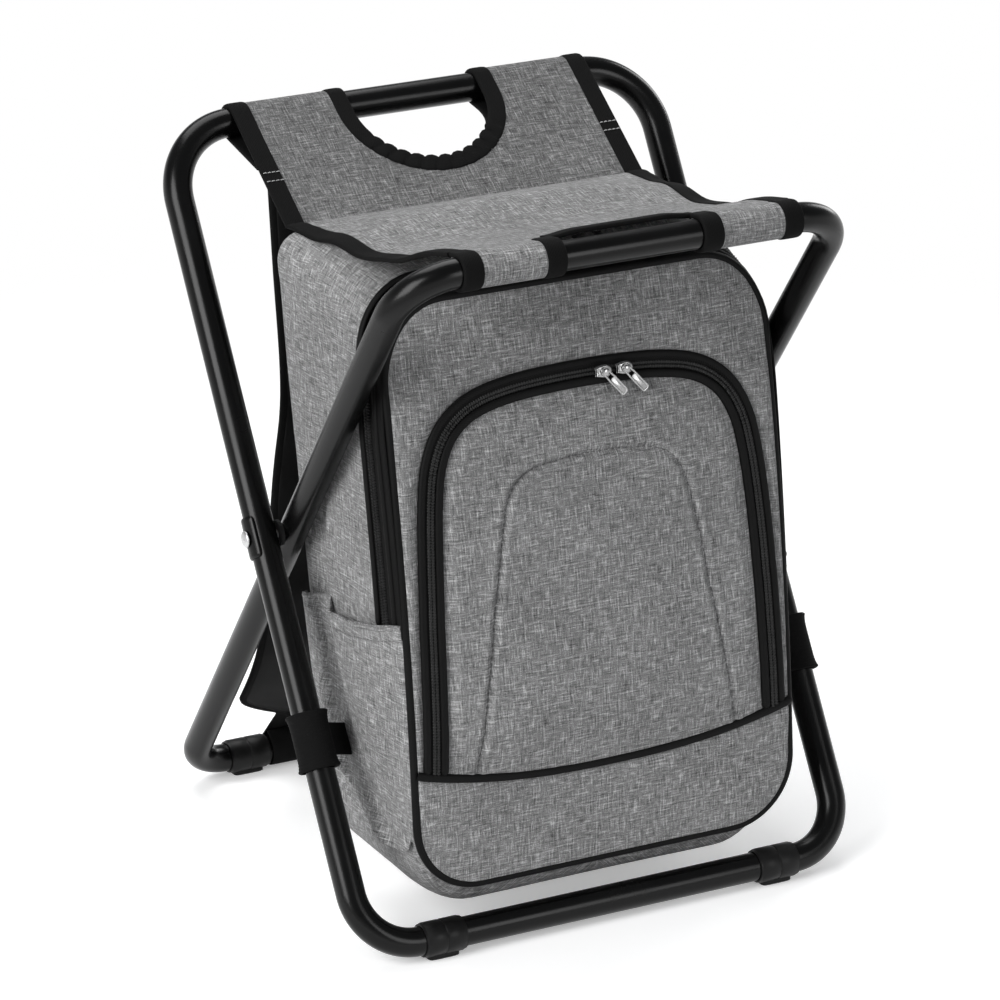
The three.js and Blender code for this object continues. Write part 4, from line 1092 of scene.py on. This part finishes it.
def front_skin():
    """The front from floor to top: one padded panel across its hinge line, drawn unfolded."""
    heights, halves = panel_rows()
    across = np.linspace(-1, 1, 96)
    x = halves[:, None] * np.sign(across) * (1 - (1 - np.abs(across)) ** 1.15)
    z = np.broadcast_to(heights[:, None], x.shape)
    outer = front_face(x, z)
    inside = inside_front(x, z)
    soft = smooth(inside, 4, 26)
    beside = np.where(inside_arch(x, z), 0.0, distance_to(ARCH[::3], x, z))
    seam = np.abs(z - mid_seam_z(x))
    puff = 2.4 * smooth(beside, 0, 7) * (1 - smooth(beside, 12, 34)) * smooth(z, 100, 130)
    puff = puff + 1.8 * smooth(seam, 1, 8) * (1 - smooth(seam, 12, 30)) * (z < mid_seam_z(x))
    outer[..., 1] -= puff * smooth(inside, 0, 5)
    outer[..., 1] -= soft * (1.2 + 0.8 * wrinkle(outer, 90, 1.7) + 0.3 * wrinkle(outer, 34, 5.2))
    inner = np.stack([x * (FRONT_HALF - 1.5) / FRONT_HALF, front_y(z) + FRONT_THICKNESS, z], axis=-1)
    inner[..., 1] -= (0.4 + 0.5 * wrinkle(inner, 40, 2.2)) * soft
    skin = Skin().pad(outer, inner, (0, 1, 2), np.stack([x, z], axis=-1),
                      rings=((0.25, 0.0), (0.6, 0.2), (0.85, 0.0)))
    piece = skin.build("bag_front", [cloth, lining, cloth], sharp=60)
    on_cover(piece, "grey_cloth", "bag_front_lower", "front_cover")


def front_pipings():
    """Round piping along the front's edge, and flat piping over its lower seam."""
    corner, wide = FRONT_CORNER - 1.0, FRONT_HALF - FRONT_CORNER
    low, high = BAG_FLOOR + FRONT_CORNER, BAG_FLOOR + BAG_HEIGHT - FRONT_CORNER
    edge = [(0, low - corner)]
    for x, z, start in ((wide, low, -90), (wide, high, 0), (-wide, high, 90), (-wide, low, 180)):
        edge += [(x + corner * math.cos(angle), z + corner * math.sin(angle))
                 for angle in np.radians(np.linspace(start, start + 90, 14))]
    edge = resample(edge, 2.6, closed=True)
    skin = Skin().sweep(front_face(*edge.T, -1.0), oval(5.6, 5.6, 2, 16), (0, -1, 0), loop=True)
    x = np.linspace(-FRONT_HALF + 1.5, FRONT_HALF - 1.5, 110)
    skin.sweep(front_face(x, mid_seam_z(x), 1.8), oval(5.6, 4.4, 2.4, 14), (0, -1, 0))
    on_cover(skin.build("front_piping", [piping], sharp=80), "webbing")


def arch_pocket():
    """The arched pocket's face, as one panel over the cover and the part below it."""
    half, height = resample(ARCH_SIDE, 1.5).T
    x = half[:, None] * np.linspace(-1, 1, 172)
    z = np.maximum(height[:, None], mid_seam_z(x))
    face = front_face(x, z, pocket_rise(x * 0.9995, z) + 0.4)
    soft = smooth(distance_to(ARCH[::3], x, z), 14, 30)
    face[..., 1] -= soft * (0.7 * wrinkle(face, 75, 9.1) + 0.3 * wrinkle(face, 30, 4.4))
    skin = Skin().pad(face, front_face(x, z, -0.6), uv=np.stack([x + 7, z + 13], axis=-1))
    piece = skin.build("arch_pocket", [cloth], sharp=70)
    on_cover(piece, "grey_cloth", "front_pocket_lower", "front_pocket_upper")


bag_body()
front_skin()
front_pipings()
arch_pocket()


# Zips

COIL_PITCH = 1.9
ZIP_FOOT = (206.0 - BAG_FLOOR) / BAG_HEIGHT


def arch_line(inset, out, step):
    """A line inside the arch's outline, from its left foot to its right foot, and its normals."""
    outline = resample(ARCH, step or 1.5)
    along = unit(np.gradient(outline, axis=0))
    line = outline + np.stack([along[:, 1], -along[:, 0]], axis=1) * inset
    line = line[line[:, 1] > mid_seam_z(line[:, 0]) + 1]
    return front_face(*line.T, pocket_rise(*line.T) + out), (0, -1, 0)


def wall_line(behind, out, step):
    """A line over the bag's walls and top, a distance behind its front, and its normals."""
    x, up = ring_shape(behind, -out)
    order = np.argsort(np.arctan2(x, up - ZIP_FOOT))
    order = order[up[order] >= ZIP_FOOT]
    path = resample(wall_point(x[order], up[order], behind), step or 2.0)
    normal = unit(np.cross(unit(np.gradient(path, axis=0)), [0, 1.0, 0]))
    middle = np.array([0, path[:, 1].mean(), 300.0])
    return path, normal * np.sign(((path - middle) * normal).sum(axis=1, keepdims=True))


def beads(name, line, rows, coil=False):
    """Rows of (place, width, height, out) that lie along a zip, each rolled or flat, as one piece."""
    skin = Skin()
    for where, width, height, out, *look in rows:
        slot, power = look or (0, 2.2)
        path, normals = line(where, out, COIL_PITCH / 4 if coil else None)
        # A coil is sampled four times for each of its turns.
        size = 0.77 + 0.23 * np.cos(np.arange(len(path)) * np.pi / 2) if coil else tapered(path)
        skin.sweep(path, oval(width, height, power, 14), normals, slot=slot, scale=size)
    return skin.build(name, [zip_coil] if coil else [piping, zip_tape], sharp=80 if coil else 60)


on_cover(beads("arch_zip_tape", arch_line, (
    (1.4, 5.4, 4.4, 1.0), (7.6, 12.0, 1.8, 0.9, 1, 5), (13.0, 6.0, 4.8, 1.4))), "zip_tape")
on_cover(beads("arch_zip_coil", arch_line, (
    (5.9, 3.4, 2.8, 2.2), (8.4, 3.4, 2.8, 2.2)), coil=True), "zip_tape")
path = front_face(*STITCH_LINE.T, pocket_rise(*STITCH_LINE.T) + 0.7)
on_cover(stitches(path, (0, -1, 0), "arch_stitching", 3.0, 1.5, 0.75), "webbing")
riding(beads("main_zip_band", wall_line, (
    (22.8, 20.6, 1.8, 1.4, 1, 6), (31.6, 5.0, 3.4, 1.9))), "outer_frame", "zip_tape", "main_zip_tape")
riding(beads("main_zip_coil", wall_line, (
    (19.4, 4.2, 3.6, 2.8), (22.6, 4.2, 3.6, 2.8)), coil=True), "outer_frame", "zip_tape")
on_cover(beads("cover_zip_band", wall_line, (
    (7.2, 10.4, 2.0, 2.3, 1, 5), (10.6, 4.6, 4.4, 2.6))), "zip_tape")


# Side pockets and inside

POUCH_FOOT = 76.0
POUCH_EDGE = 3.0
FOLDED_TILT = math.radians(25.8)
FOLDED_GAP = 2.0
# The height of a pouch's mouth at shares of the way to the rear.
POUCH_MOUTH = ([0, 0.2, 0.42, 0.58, 0.66, 0.70, 0.85, 1.0],
               [219.5, 210.0, 202.0, 199.0, 197.5, 203.5, 199.5, 195.5])
# Its folds, from and to (y, z), with their height and width.
DRAPES = ((-30, 120, -118, 68, 8.0, 6.0), (-32, 88, -112, 68, -4.6, 6.0), (-60, 186, -112, 128, 1.6, 9.0),
          (-20, 150, -84, 92, 1.8, 7.0))


def pouch_drape(y, z):
    """Folds that hang across a pouch from its rear edge down to its front lower corner."""
    total = np.zeros(y.shape)
    for from_y, from_z, to_y, to_z, height, width in DRAPES:
        run = np.array([to_y - from_y, to_z - from_z])
        length = np.hypot(*run)
        along = ((y - from_y) * run[0] + (z - from_z) * run[1]) / length ** 2
        off = ((y - from_y) * run[1] - (z - from_z) * run[0]) / length
        fade = smooth(along, -0.15, 0.2) * (1 - smooth(along, 0.85, 1.1))
        total += height * fade * bell(off, 0, width)
    return total


def under_folded_leg(total, y, z, out):
    """Keeps a pouch clear of the inner leg, which lies over it when the stool is folded."""
    off = np.abs(y - PIVOT[0] + (PIVOT[1] - z) * math.tan(FOLDED_TILT)) * math.cos(FOLDED_TILT)
    room = INNER_HALF - TUBE_RADIUS - BAG_HALF - FOLDED_GAP - out
    room = room + 1.1 * np.maximum(off - TUBE_RADIUS - 1.0, 0)
    soft = 1.2
    lower = np.maximum(soft - np.abs(total - room), 0)
    return np.minimum(total, room) - lower ** 2 / (4 * soft)


def pocket_wall(side, through, up_share, out):
    """A point of a side pocket: through from front to rear, up from its foot to its mouth."""
    through, up_share = arrays(through, up_share)
    height = mix(POUCH_FOOT, np.interp(through, *POUCH_MOUTH), up_share)
    share = (height - BAG_FLOOR) / BAG_HEIGHT
    depth = bag_depth(share)
    back = mix(POUCH_EDGE / depth, 1 - POUCH_EDGE / depth, through)
    stand = 0.6 + 7.4 * np.sin(np.pi * np.clip(through, 0, 1)) ** 0.25 * up_share ** 0.6
    base = bag_point(0.0, share, back)
    stand = stand + pouch_drape(base[..., 1], height) * np.minimum(through * 7, 1)
    total = flare(share, back) + stand + 0.65 + side_fold(base[..., 1], base[..., 2]) * 0.7
    base[..., 0] = side * (BAG_HALF + under_folded_leg(total, base[..., 1], height, out) + out)
    return base


def side_pocket(side, label):
    """A pouch of cloth sewn to the side, held open at its mouth by the fullness of the cloth."""
    through, up = np.meshgrid(np.linspace(0, 1, 76), np.linspace(0, 1, 84))
    points = pocket_wall(side, through, up, 0.0)
    ripple = 0.6 * wrinkle(points, 24, 6.0 + side) + 0.3 * wrinkle(points, 11, 2.0 + side)
    hold = np.minimum(np.minimum(through, 1 - through) * 8, 1) * np.minimum(up * 6, 1)
    points[..., 0] += side * (ripple - 0.6) * hold
    uv = np.stack([points[..., 1] - front_y(points[..., 2]), points[..., 2]], axis=-1)
    piece = thicken(Skin().grid(points, uv=uv).build(f"side_pouch_{label}", [cloth], sharp=80), 1.3)
    riding(piece, "outer_frame", "grey_cloth", f"side_pocket_{label}")
    line = np.linspace(0.005, 0.995, 70)
    rim = pocket_wall(side, line, 0.985, 0.3)
    hem = Skin().sweep(rim, oval(2.6, 1.9, 2.6, 14), (side, 0, 0), scale=tapered(rim))
    riding(hem.build(f"pouch_hem_{label}", [cloth], sharp=70), "outer_frame", "grey_cloth")
    row = pocket_wall(side, line, 0.93, 0.85)
    riding(stitches(row, (side, 0, 0), f"pouch_stitching_{label}", 2.6, 1.3, 0.45), "outer_frame",
           "webbing")


def net_point(across, up):
    """A point of the net pocket on the bag's back wall."""
    across, up = arrays(across, up)
    share = (mix(96.0, 322.0, up) - BAG_FLOOR) / BAG_HEIGHT
    stand = 0.6 + 12.0 * np.sin(np.pi * np.clip(across, 0, 1)) ** 0.35 * up ** 0.6
    point = bag_point(112.0 * (2 * across - 1), share, 1.0)
    point[..., 1] -= WALL + stand + 0.65
    return point


def mesh_pocket():
    """The net pocket, with its bound mouth."""
    across, up = np.meshgrid(np.linspace(0, 1, 60), np.linspace(0, 1, 44))
    points = net_point(across, up)
    hold = np.minimum(up * 5, 1) * np.minimum(np.minimum(across, 1 - across) * 8, 1)
    points[..., 1] -= 0.9 * wrinkle(points, 30, 8.0) * hold
    piece = Skin().grid(points, uv=points[..., [0, 2]]).build("mesh_pocket", [net], sharp=80)
    riding(thicken(piece, 1.1), "outer_frame", "mesh_fabric", "mesh_divider")
    rim = net_point(np.linspace(0.0, 1.0, 80), 0.985)
    hem = Skin().sweep(rim, oval(9.0, 2.8, 5, 16), (0, -1, 0), scale=tapered(rim))
    riding(hem.build("mesh_pocket_hem", [binding], sharp=60), "outer_frame", "webbing")


for side, label in SIDES:
    side_pocket(side, label)
mesh_pocket()


# Zip sliders and pull tabs

def outline_stack(skin, outline, levels, spot, basis):
    """An outline stacked at levels of (out, inset) and closed at both ends."""
    outline = np.asarray(outline, float)
    along = np.roll(outline, -1, axis=0) - np.roll(outline, 1, axis=0)
    inward = unit(np.stack([-along[:, 1], along[:, 0]], axis=1))
    centre = outline.mean(axis=0)
    inward *= np.sign(((centre - outline) * inward).sum(axis=1).sum())
    rings = [np.column_stack([outline + inward * inset, np.full(len(outline), out)])
             for out, inset in levels]
    first, last = [np.tile([*centre, levels[i][0]], (len(outline), 1)) for i in (0, -1)]
    return skin.grid(np.asarray(spot) + np.stack([first, *rings, last]) @ basis, loop=True)


def slider_basis(normal, lean=0.0):
    """Rows: along the zip, across it, and out of the cloth."""
    out = unit(np.asarray(normal, float))
    along = np.array([1.0, 0, 0])
    across = np.cross(out, along)
    return np.stack([along * math.cos(lean) + across * math.sin(lean),
                     across * math.cos(lean) - along * math.sin(lean), out])


# A slider's two plates as (out, inset) levels, and its stud as (radius, out).
RUNNER_LEVELS = [(0.3, 0.6), (0.5, 0.15), (0.8, 0.0), (1.25, 0.0), (1.4, 0.25), (1.45, 1.1),
                 (2.35, 1.1), (2.4, 0.25), (2.55, 0.0), (3.1, 0.05), (3.5, 0.35), (3.75, 0.9)]
RUNNER_STUD = [(0, 3.5), (2.6, 3.5), (2.3, 3.8), (1.2, 4.0), (1.2, 5.6), (1.9, 5.65), (2.3, 5.85),
               (2.3, 6.15), (1.9, 6.5), (1.0, 6.7), (0, 6.75)]
TAB_LEVELS = [(4.5, 0.1), (4.55, 0), (5.15, 0), (5.2, 0.1)]
TAB_OUT = 4.85


def slider(name, spot, normal, lean):
    """A slider's two plates and its stud, and the wire pull tab that hangs from it."""
    basis = slider_basis(normal)
    nose = [(-5.5, -2.8), (-2.5, -3.6), (0, -4.0)]
    nose += [(1.5 + 4 * math.cos(t), 4 * math.sin(t)) for t in np.linspace(-np.pi / 2, np.pi / 2, 16)]
    nose += [(0, 4.0), (-2.5, 3.6), (-5.5, 2.8), (-5.2, 1.2), (-5.0, 0), (-5.2, -1.2)]
    skin = Skin()
    outline_stack(skin, nose, RUNNER_LEVELS, spot, basis)
    skin.lathe(RUNNER_STUD, spot, basis[2], sides=24)
    riding(skin.build(f"{name}_runner", [zip_metal], sharp=45, weld=0.005), f"{name}_slider",
           "zip_metal", f"{name}_slider")
    hang = slider_basis(normal, lean)
    half, low = 2.25, 20.5
    corner = [(-half + 1.2 * (1 - math.cos(t)), -low + 1.95 - 1.2 * math.sin(t))
              for t in np.linspace(0, np.pi / 2, 6)]
    rod = [(half * math.cos(t), half * math.sin(t)) for t in np.linspace(0, np.pi, 14)]
    rod += [(-half * 0.86, -3.0), (-half, -7.0), *corner, *[(-x, y) for x, y in corner[::-1]],
            (half, -7.0), (half * 0.86, -3.0)]
    loop = resample(rod, 0.5, closed=True)
    path = np.asarray(spot) + np.column_stack([loop, np.full(len(loop), TAB_OUT)]) @ hang
    skin = Skin().sweep(path, oval(1.5, 1.3, 2.6, 10), hang[2], loop=True)
    plate = [(half, -8.0), (half * 0.8, -6.9), (0, -6.4), (-half * 0.8, -6.9), (-half, -8.0),
             (-half, 1.6 - low), (1 - half, 0.8 - low), (half - 1, 0.8 - low), (half, 1.6 - low)]
    outline_stack(skin, resample(plate, 0.8, closed=True), TAB_LEVELS, spot, hang)
    riding(skin.build(f"{name}_pull", [zip_metal], sharp=50, weld=0.005), f"{name}_tab",
           "zip_metal", f"{name}_tab")


ARCH_NORMAL = (0, -0.97464, 0.22376)
TOP_NORMAL = (0, -0.27505, 0.96143)
for i, (_, label) in enumerate(SIDES):
    slider(f"pocket_zip_{label}", (12.0 + 15 * i, -109.785, 358.0), ARCH_NORMAL, math.radians(40))
    slider(f"main_zip_{label}", (22.0 + 15 * i, -71.70, 420.12), TOP_NORMAL, math.pi)


# Straps and loops

STRAP_SHARES = [(0, 0), (0.144, 0.046), (0.336, 0.106), (0.497, 0.103), (0.788, 0.1)]
STRAP_FOOT = np.array([145.98, 46.8])
STRAP_TAPER = 0.92
STRAP_LOOP_X = INNER_HALF - 78.2
STRAP, STRAP_TAIL = wrap_frame(REAR_FLOOR_BAR, STRAP_FOOT)


def strap_route():
    """A strap in the side view, from the seat's stitching down to its webbing."""
    seat = REAR_BAR + REAR_ALONG * (5.7 + 42) + REAR_UP * TUBE_RADIUS
    first = unit(route(seat, STRAP_FOOT, STRAP_SHARES[1:2])[0] - seat)
    rise = abs(first[0] * REAR_UP[1] - first[1] * REAR_UP[0]) * 4.5
    points = route(seat - REAR_UP * rise, STRAP_FOOT, STRAP_SHARES)
    return spline([*points, STRAP_FOOT + STRAP[1] * 22, STRAP_FOOT + STRAP[1] * 0.6], 4.0)


STRAP_LINE = strap_route()
STRAP_SLOPE = unit(np.gradient(STRAP_LINE, axis=0))
STRAP_LAST = len(STRAP_LINE) - 1


def strap_point(side, across, row, out):
    """A point of a strap. across is from -1 to 1, row counts from the top."""
    across, row, out = arrays(across, row, out)
    down = row / STRAP_LAST
    along = np.minimum(down / STRAP_TAPER, 1)
    taper = smooth(down, STRAP_TAPER, 1.0)
    middle = side * mix(mix(92.0, INNER_HALF - 53.0, along), STRAP_LOOP_X, taper)
    width = mix(mix(58.0, 64.0, along), 40.0, taper)
    place, slope = [picked(row, np.arange(STRAP_LAST + 1), line) for line in (STRAP_LINE, STRAP_SLOPE)]
    place = place + slope[..., ::-1] * [-1, 1] * out[..., None]
    return np.concatenate([(middle + width / 2 * across)[..., None], place], axis=-1)


def shoulder_strap(side, label):
    """A padded strap: fabric outside, net against the bag, taped edges."""
    rows = np.linspace(0, STRAP_LAST, 130)
    a, r = np.meshgrid(np.linspace(-1, 1, 26), rows)
    down = r / STRAP_LAST
    sides = np.cos(np.pi / 2 * np.abs(a) ** 1.6) ** 0.7
    ends = np.minimum(np.minimum(down, 1 - down) / 0.03, 1) ** 0.5
    half = mix(1.4, 4.4, sides * ends)
    ripple = 0.5 * np.sin(r * 0.62 + 0.6 * a) * sides
    half = half + ripple * smooth(down, 0.1, 0.3) * (1 - smooth(down, 0.8, 0.95))
    front, rear = [strap_point(side, a * 0.93, r, out) for out in (half, -half)]
    skin = Skin().pad(front, rear, (1, 0, 0), np.stack([a * 30, r * 4], axis=-1))
    pad = skin.build(f"strap_pad_{label}", [strap_cloth, strap_net], sharp=70)
    skin = Skin()
    for edge in (-0.92, 0.92):
        line, near = [strap_point(side, edge, rows, out) for out in (0.0, 1.0)]
        skin.sweep(line, oval(6.5, 4.0, 3, 16), near - line)
    tape = skin.build(f"strap_tape_{label}", [binding], sharp=60)
    top, low = STRAP_LINE[0] * MM, STRAP_LINE[-1] * MM
    for piece, nodes in ((pad, (f"shoulder_strap_{label}",)), (tape, ())):
        bending(piece, "webbing", "inner_frame", (0, *top), (0, *low), *nodes)


def strap_loop(side, label):
    """Webbing round the rear floor bar, sewn back on itself."""
    rim = wrap_path(WRAP_SEAM + 4, STRAP_TAIL, 2.0)
    skin = wrapped(Skin(), rim, side * STRAP_LOOP_X, oval(40.0, 1.7, 9, 26), STRAP)
    riding(skin.build(f"strap_webbing_{label}", [webbing], sharp=60), "inner_frame", "webbing",
           f"strap_loop_{label}")


LOOP_TURN = math.radians(50)
LOOP_LEVEL = 129.0
LOOP_HALF = 17.8
LOOP_THICK = 2.6
LOOP_POCKET_OUT = 6.7
LOOP_TAIL = 21.0


def leg_loop(side, label):
    """Webbing wound round the outer leg like a cuff, its tail sewn to the side pocket."""
    radius = TUBE_RADIUS + 0.5 + LOOP_THICK / 2
    reach = OUTER_HALF - BAG_HALF - LOOP_POCKET_OUT
    tail = (reach - (radius + LOOP_THICK / 2) * math.sin(LOOP_TURN)) / math.cos(LOOP_TURN)
    sideways = np.array([-side, 0.0, 0.0])
    along = sideways * math.cos(LOOP_TURN) + OUTER_FORWARD * math.sin(LOOP_TURN)
    away = sideways * math.sin(LOOP_TURN) - OUTER_FORWARD * math.cos(LOOP_TURN)
    level = (LOOP_LEVEL - PIVOT[1]) / math.cos(OUTER_TILT)
    base = np.array([side * OUTER_HALF, *PIVOT]) + OUTER_ALONG * level
    turn = np.linspace(0, 2 * np.pi, 64, endpoint=False)[:, None]
    out = along * np.cos(turn) + away * np.sin(turn)
    share = np.linspace(-1, 1, 60)
    flared = 1.5 * np.abs(share) ** 6
    ribs = 0.14 * np.cos(share * 19 * np.pi)
    upper, lower = [np.column_stack([share * LOOP_HALF, flared + rise])
                    for rise in (ribs + LOOP_THICK * 0.45, -LOOP_THICK * 0.45)]
    section = np.vstack([upper, [(LOOP_HALF + 0.8, 1.5)], lower[::-1], [(-LOOP_HALF - 0.8, 1.5)]])
    cuff = Skin().sweep(base + out * radius, section, out, loop=True)
    riding(cuff.build(f"leg_webbing_{label}", [webbing], sharp=60), "outer_frame", "webbing",
           f"leg_loop_{label}")
    strip = (base + along * np.linspace(4.0, tail, 20)[:, None]
             + away * np.linspace(radius - 2.5, radius, 20)[:, None])
    tail = Skin().sweep(strip, oval(LOOP_TAIL, 2.0, 8, 26), away)
    piece = riding(tail.build(f"leg_tail_{label}", [webbing], sharp=60), "outer_frame", "webbing")
    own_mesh(piece)


for side, label in SIDES:
    shoulder_strap(side, label)
    strap_loop(side, label)
    leg_loop(side, label)


# Stage, light and camera

FLOOR_GLOW = 0.3
FLOOR_RADIUS = 4.0


def white_floor():
    """A pale floor that keeps the shadows and fades into the white room."""
    work = bmesh.new()
    bmesh.ops.create_circle(work, cap_ends=True, segments=96, radius=FLOOR_RADIUS)
    mesh = bpy.data.meshes.new("floor")
    work.to_mesh(mesh)
    work.free()
    floor = placed("floor", mesh)
    shader = Shader("floor_white", Roughness=0.9, Specular_IOR_Level=0.2,
                    Base_Color=(0.93, 0.93, 0.93, 1))
    far = shader.add("ShaderNodeVectorMath", {0: shader.mapped(1, "Object")}, operation="LENGTH")
    rays = shader.add("ShaderNodeLightPath").outputs
    looked = shader.math("MAXIMUM", shader.math("MAXIMUM", rays["Is Camera Ray"], rays["Is Glossy Ray"]),
                         rays["Is Transmission Ray"])
    glow = shader.add("ShaderNodeEmission", {"Strength": shader.math("MULTIPLY", looked, FLOOR_GLOW)})
    lit = shader.add("ShaderNodeAddShader", {0: shader.principled.outputs[0], 1: glow.outputs[0]})
    clear = shader.add("ShaderNodeBsdfTransparent")
    shader.end(shader.add("ShaderNodeMixShader", {
        0: shader.span(far.outputs["Value"], 0.45, 1.2), 1: lit.outputs[0], 2: clear.outputs[0]}))
    mesh.materials.append(shader.material)


def white_room():
    """A soft room light that is seen as plain white."""
    world = bpy.data.worlds.new("room")
    bpy.context.scene.world = world
    room = Nodes(world, "ShaderNodeOutputWorld")
    rays = room.add("ShaderNodeLightPath").outputs
    way = room.add("ShaderNodeSeparateXYZ", {0: room.add("ShaderNodeTexCoord").outputs["Generated"]})
    low = room.add("ShaderNodeMapRange", {"Value": way.outputs["Z"], "From Min": 0.3, "From Max": -0.05})
    white = room.math("MAXIMUM", rays["Is Camera Ray"], rays["Is Transmission Ray"])
    shine = room.math("MULTIPLY", rays["Is Glossy Ray"], low.outputs[0])
    fill = room.add("ShaderNodeBackground", {"Color": (0.95, 0.97, 1.0, 1), "Strength": 0.24})
    seen = room.add("ShaderNodeBackground", {"Color": (1, 1, 1, 1), "Strength": 1.0})
    room.end(room.add("ShaderNodeMixShader", {
        0: room.math("MAXIMUM", white, shine), 1: fill.outputs[0], 2: seen.outputs[0]}))


def lamp(name, place, height, size, power):
    """A soft lamp that looks at the stool's middle at the given height."""
    data = bpy.data.lights.new(name, "AREA")
    data.shape = "RECTANGLE"
    data.size, data.size_y = size
    data.energy = power
    light = placed(name, data)
    light.location = place
    light.rotation_euler = (Vector((0, 0, height)) - Vector(place)).to_track_quat("-Z", "Y").to_euler()


def photo_camera():
    """The photograph's view, as it was fitted to both leg loops."""
    data = bpy.data.cameras.new("photo_view")
    data.sensor_width = 36
    data.lens = 193.6
    data.clip_end = 60
    camera = placed("photo_view", data)
    right = Vector((0.88668, -0.46235, 0.00481))
    above = Vector((0.16393, 0.32407, 0.93172))
    ahead = Vector((0.43234, 0.82535, -0.36314))
    turn = Matrix((right, above, -ahead)).transposed().to_4x4()
    camera.matrix_world = Matrix.Translation((-1.514, -2.8866, 1.5055)) @ turn
    bpy.context.scene.camera = camera
    bpy.context.scene.view_settings.view_transform = "Standard"


white_floor()
white_room()
lamp("key", (-2.3, -0.8, 1.5), 0.22, (1.5, 2.0), 76)
lamp("front", (0.9, -2.7, 1.1), 0.22, (1.2, 1.2), 18)
lamp("top", (0.1, 1.1, 2.4), 0.2, (1.8, 1.8), 36)
lamp("edge", (2.1, 1.0, 1.2), 0.25, (0.7, 1.4), 14)
photo_camera()
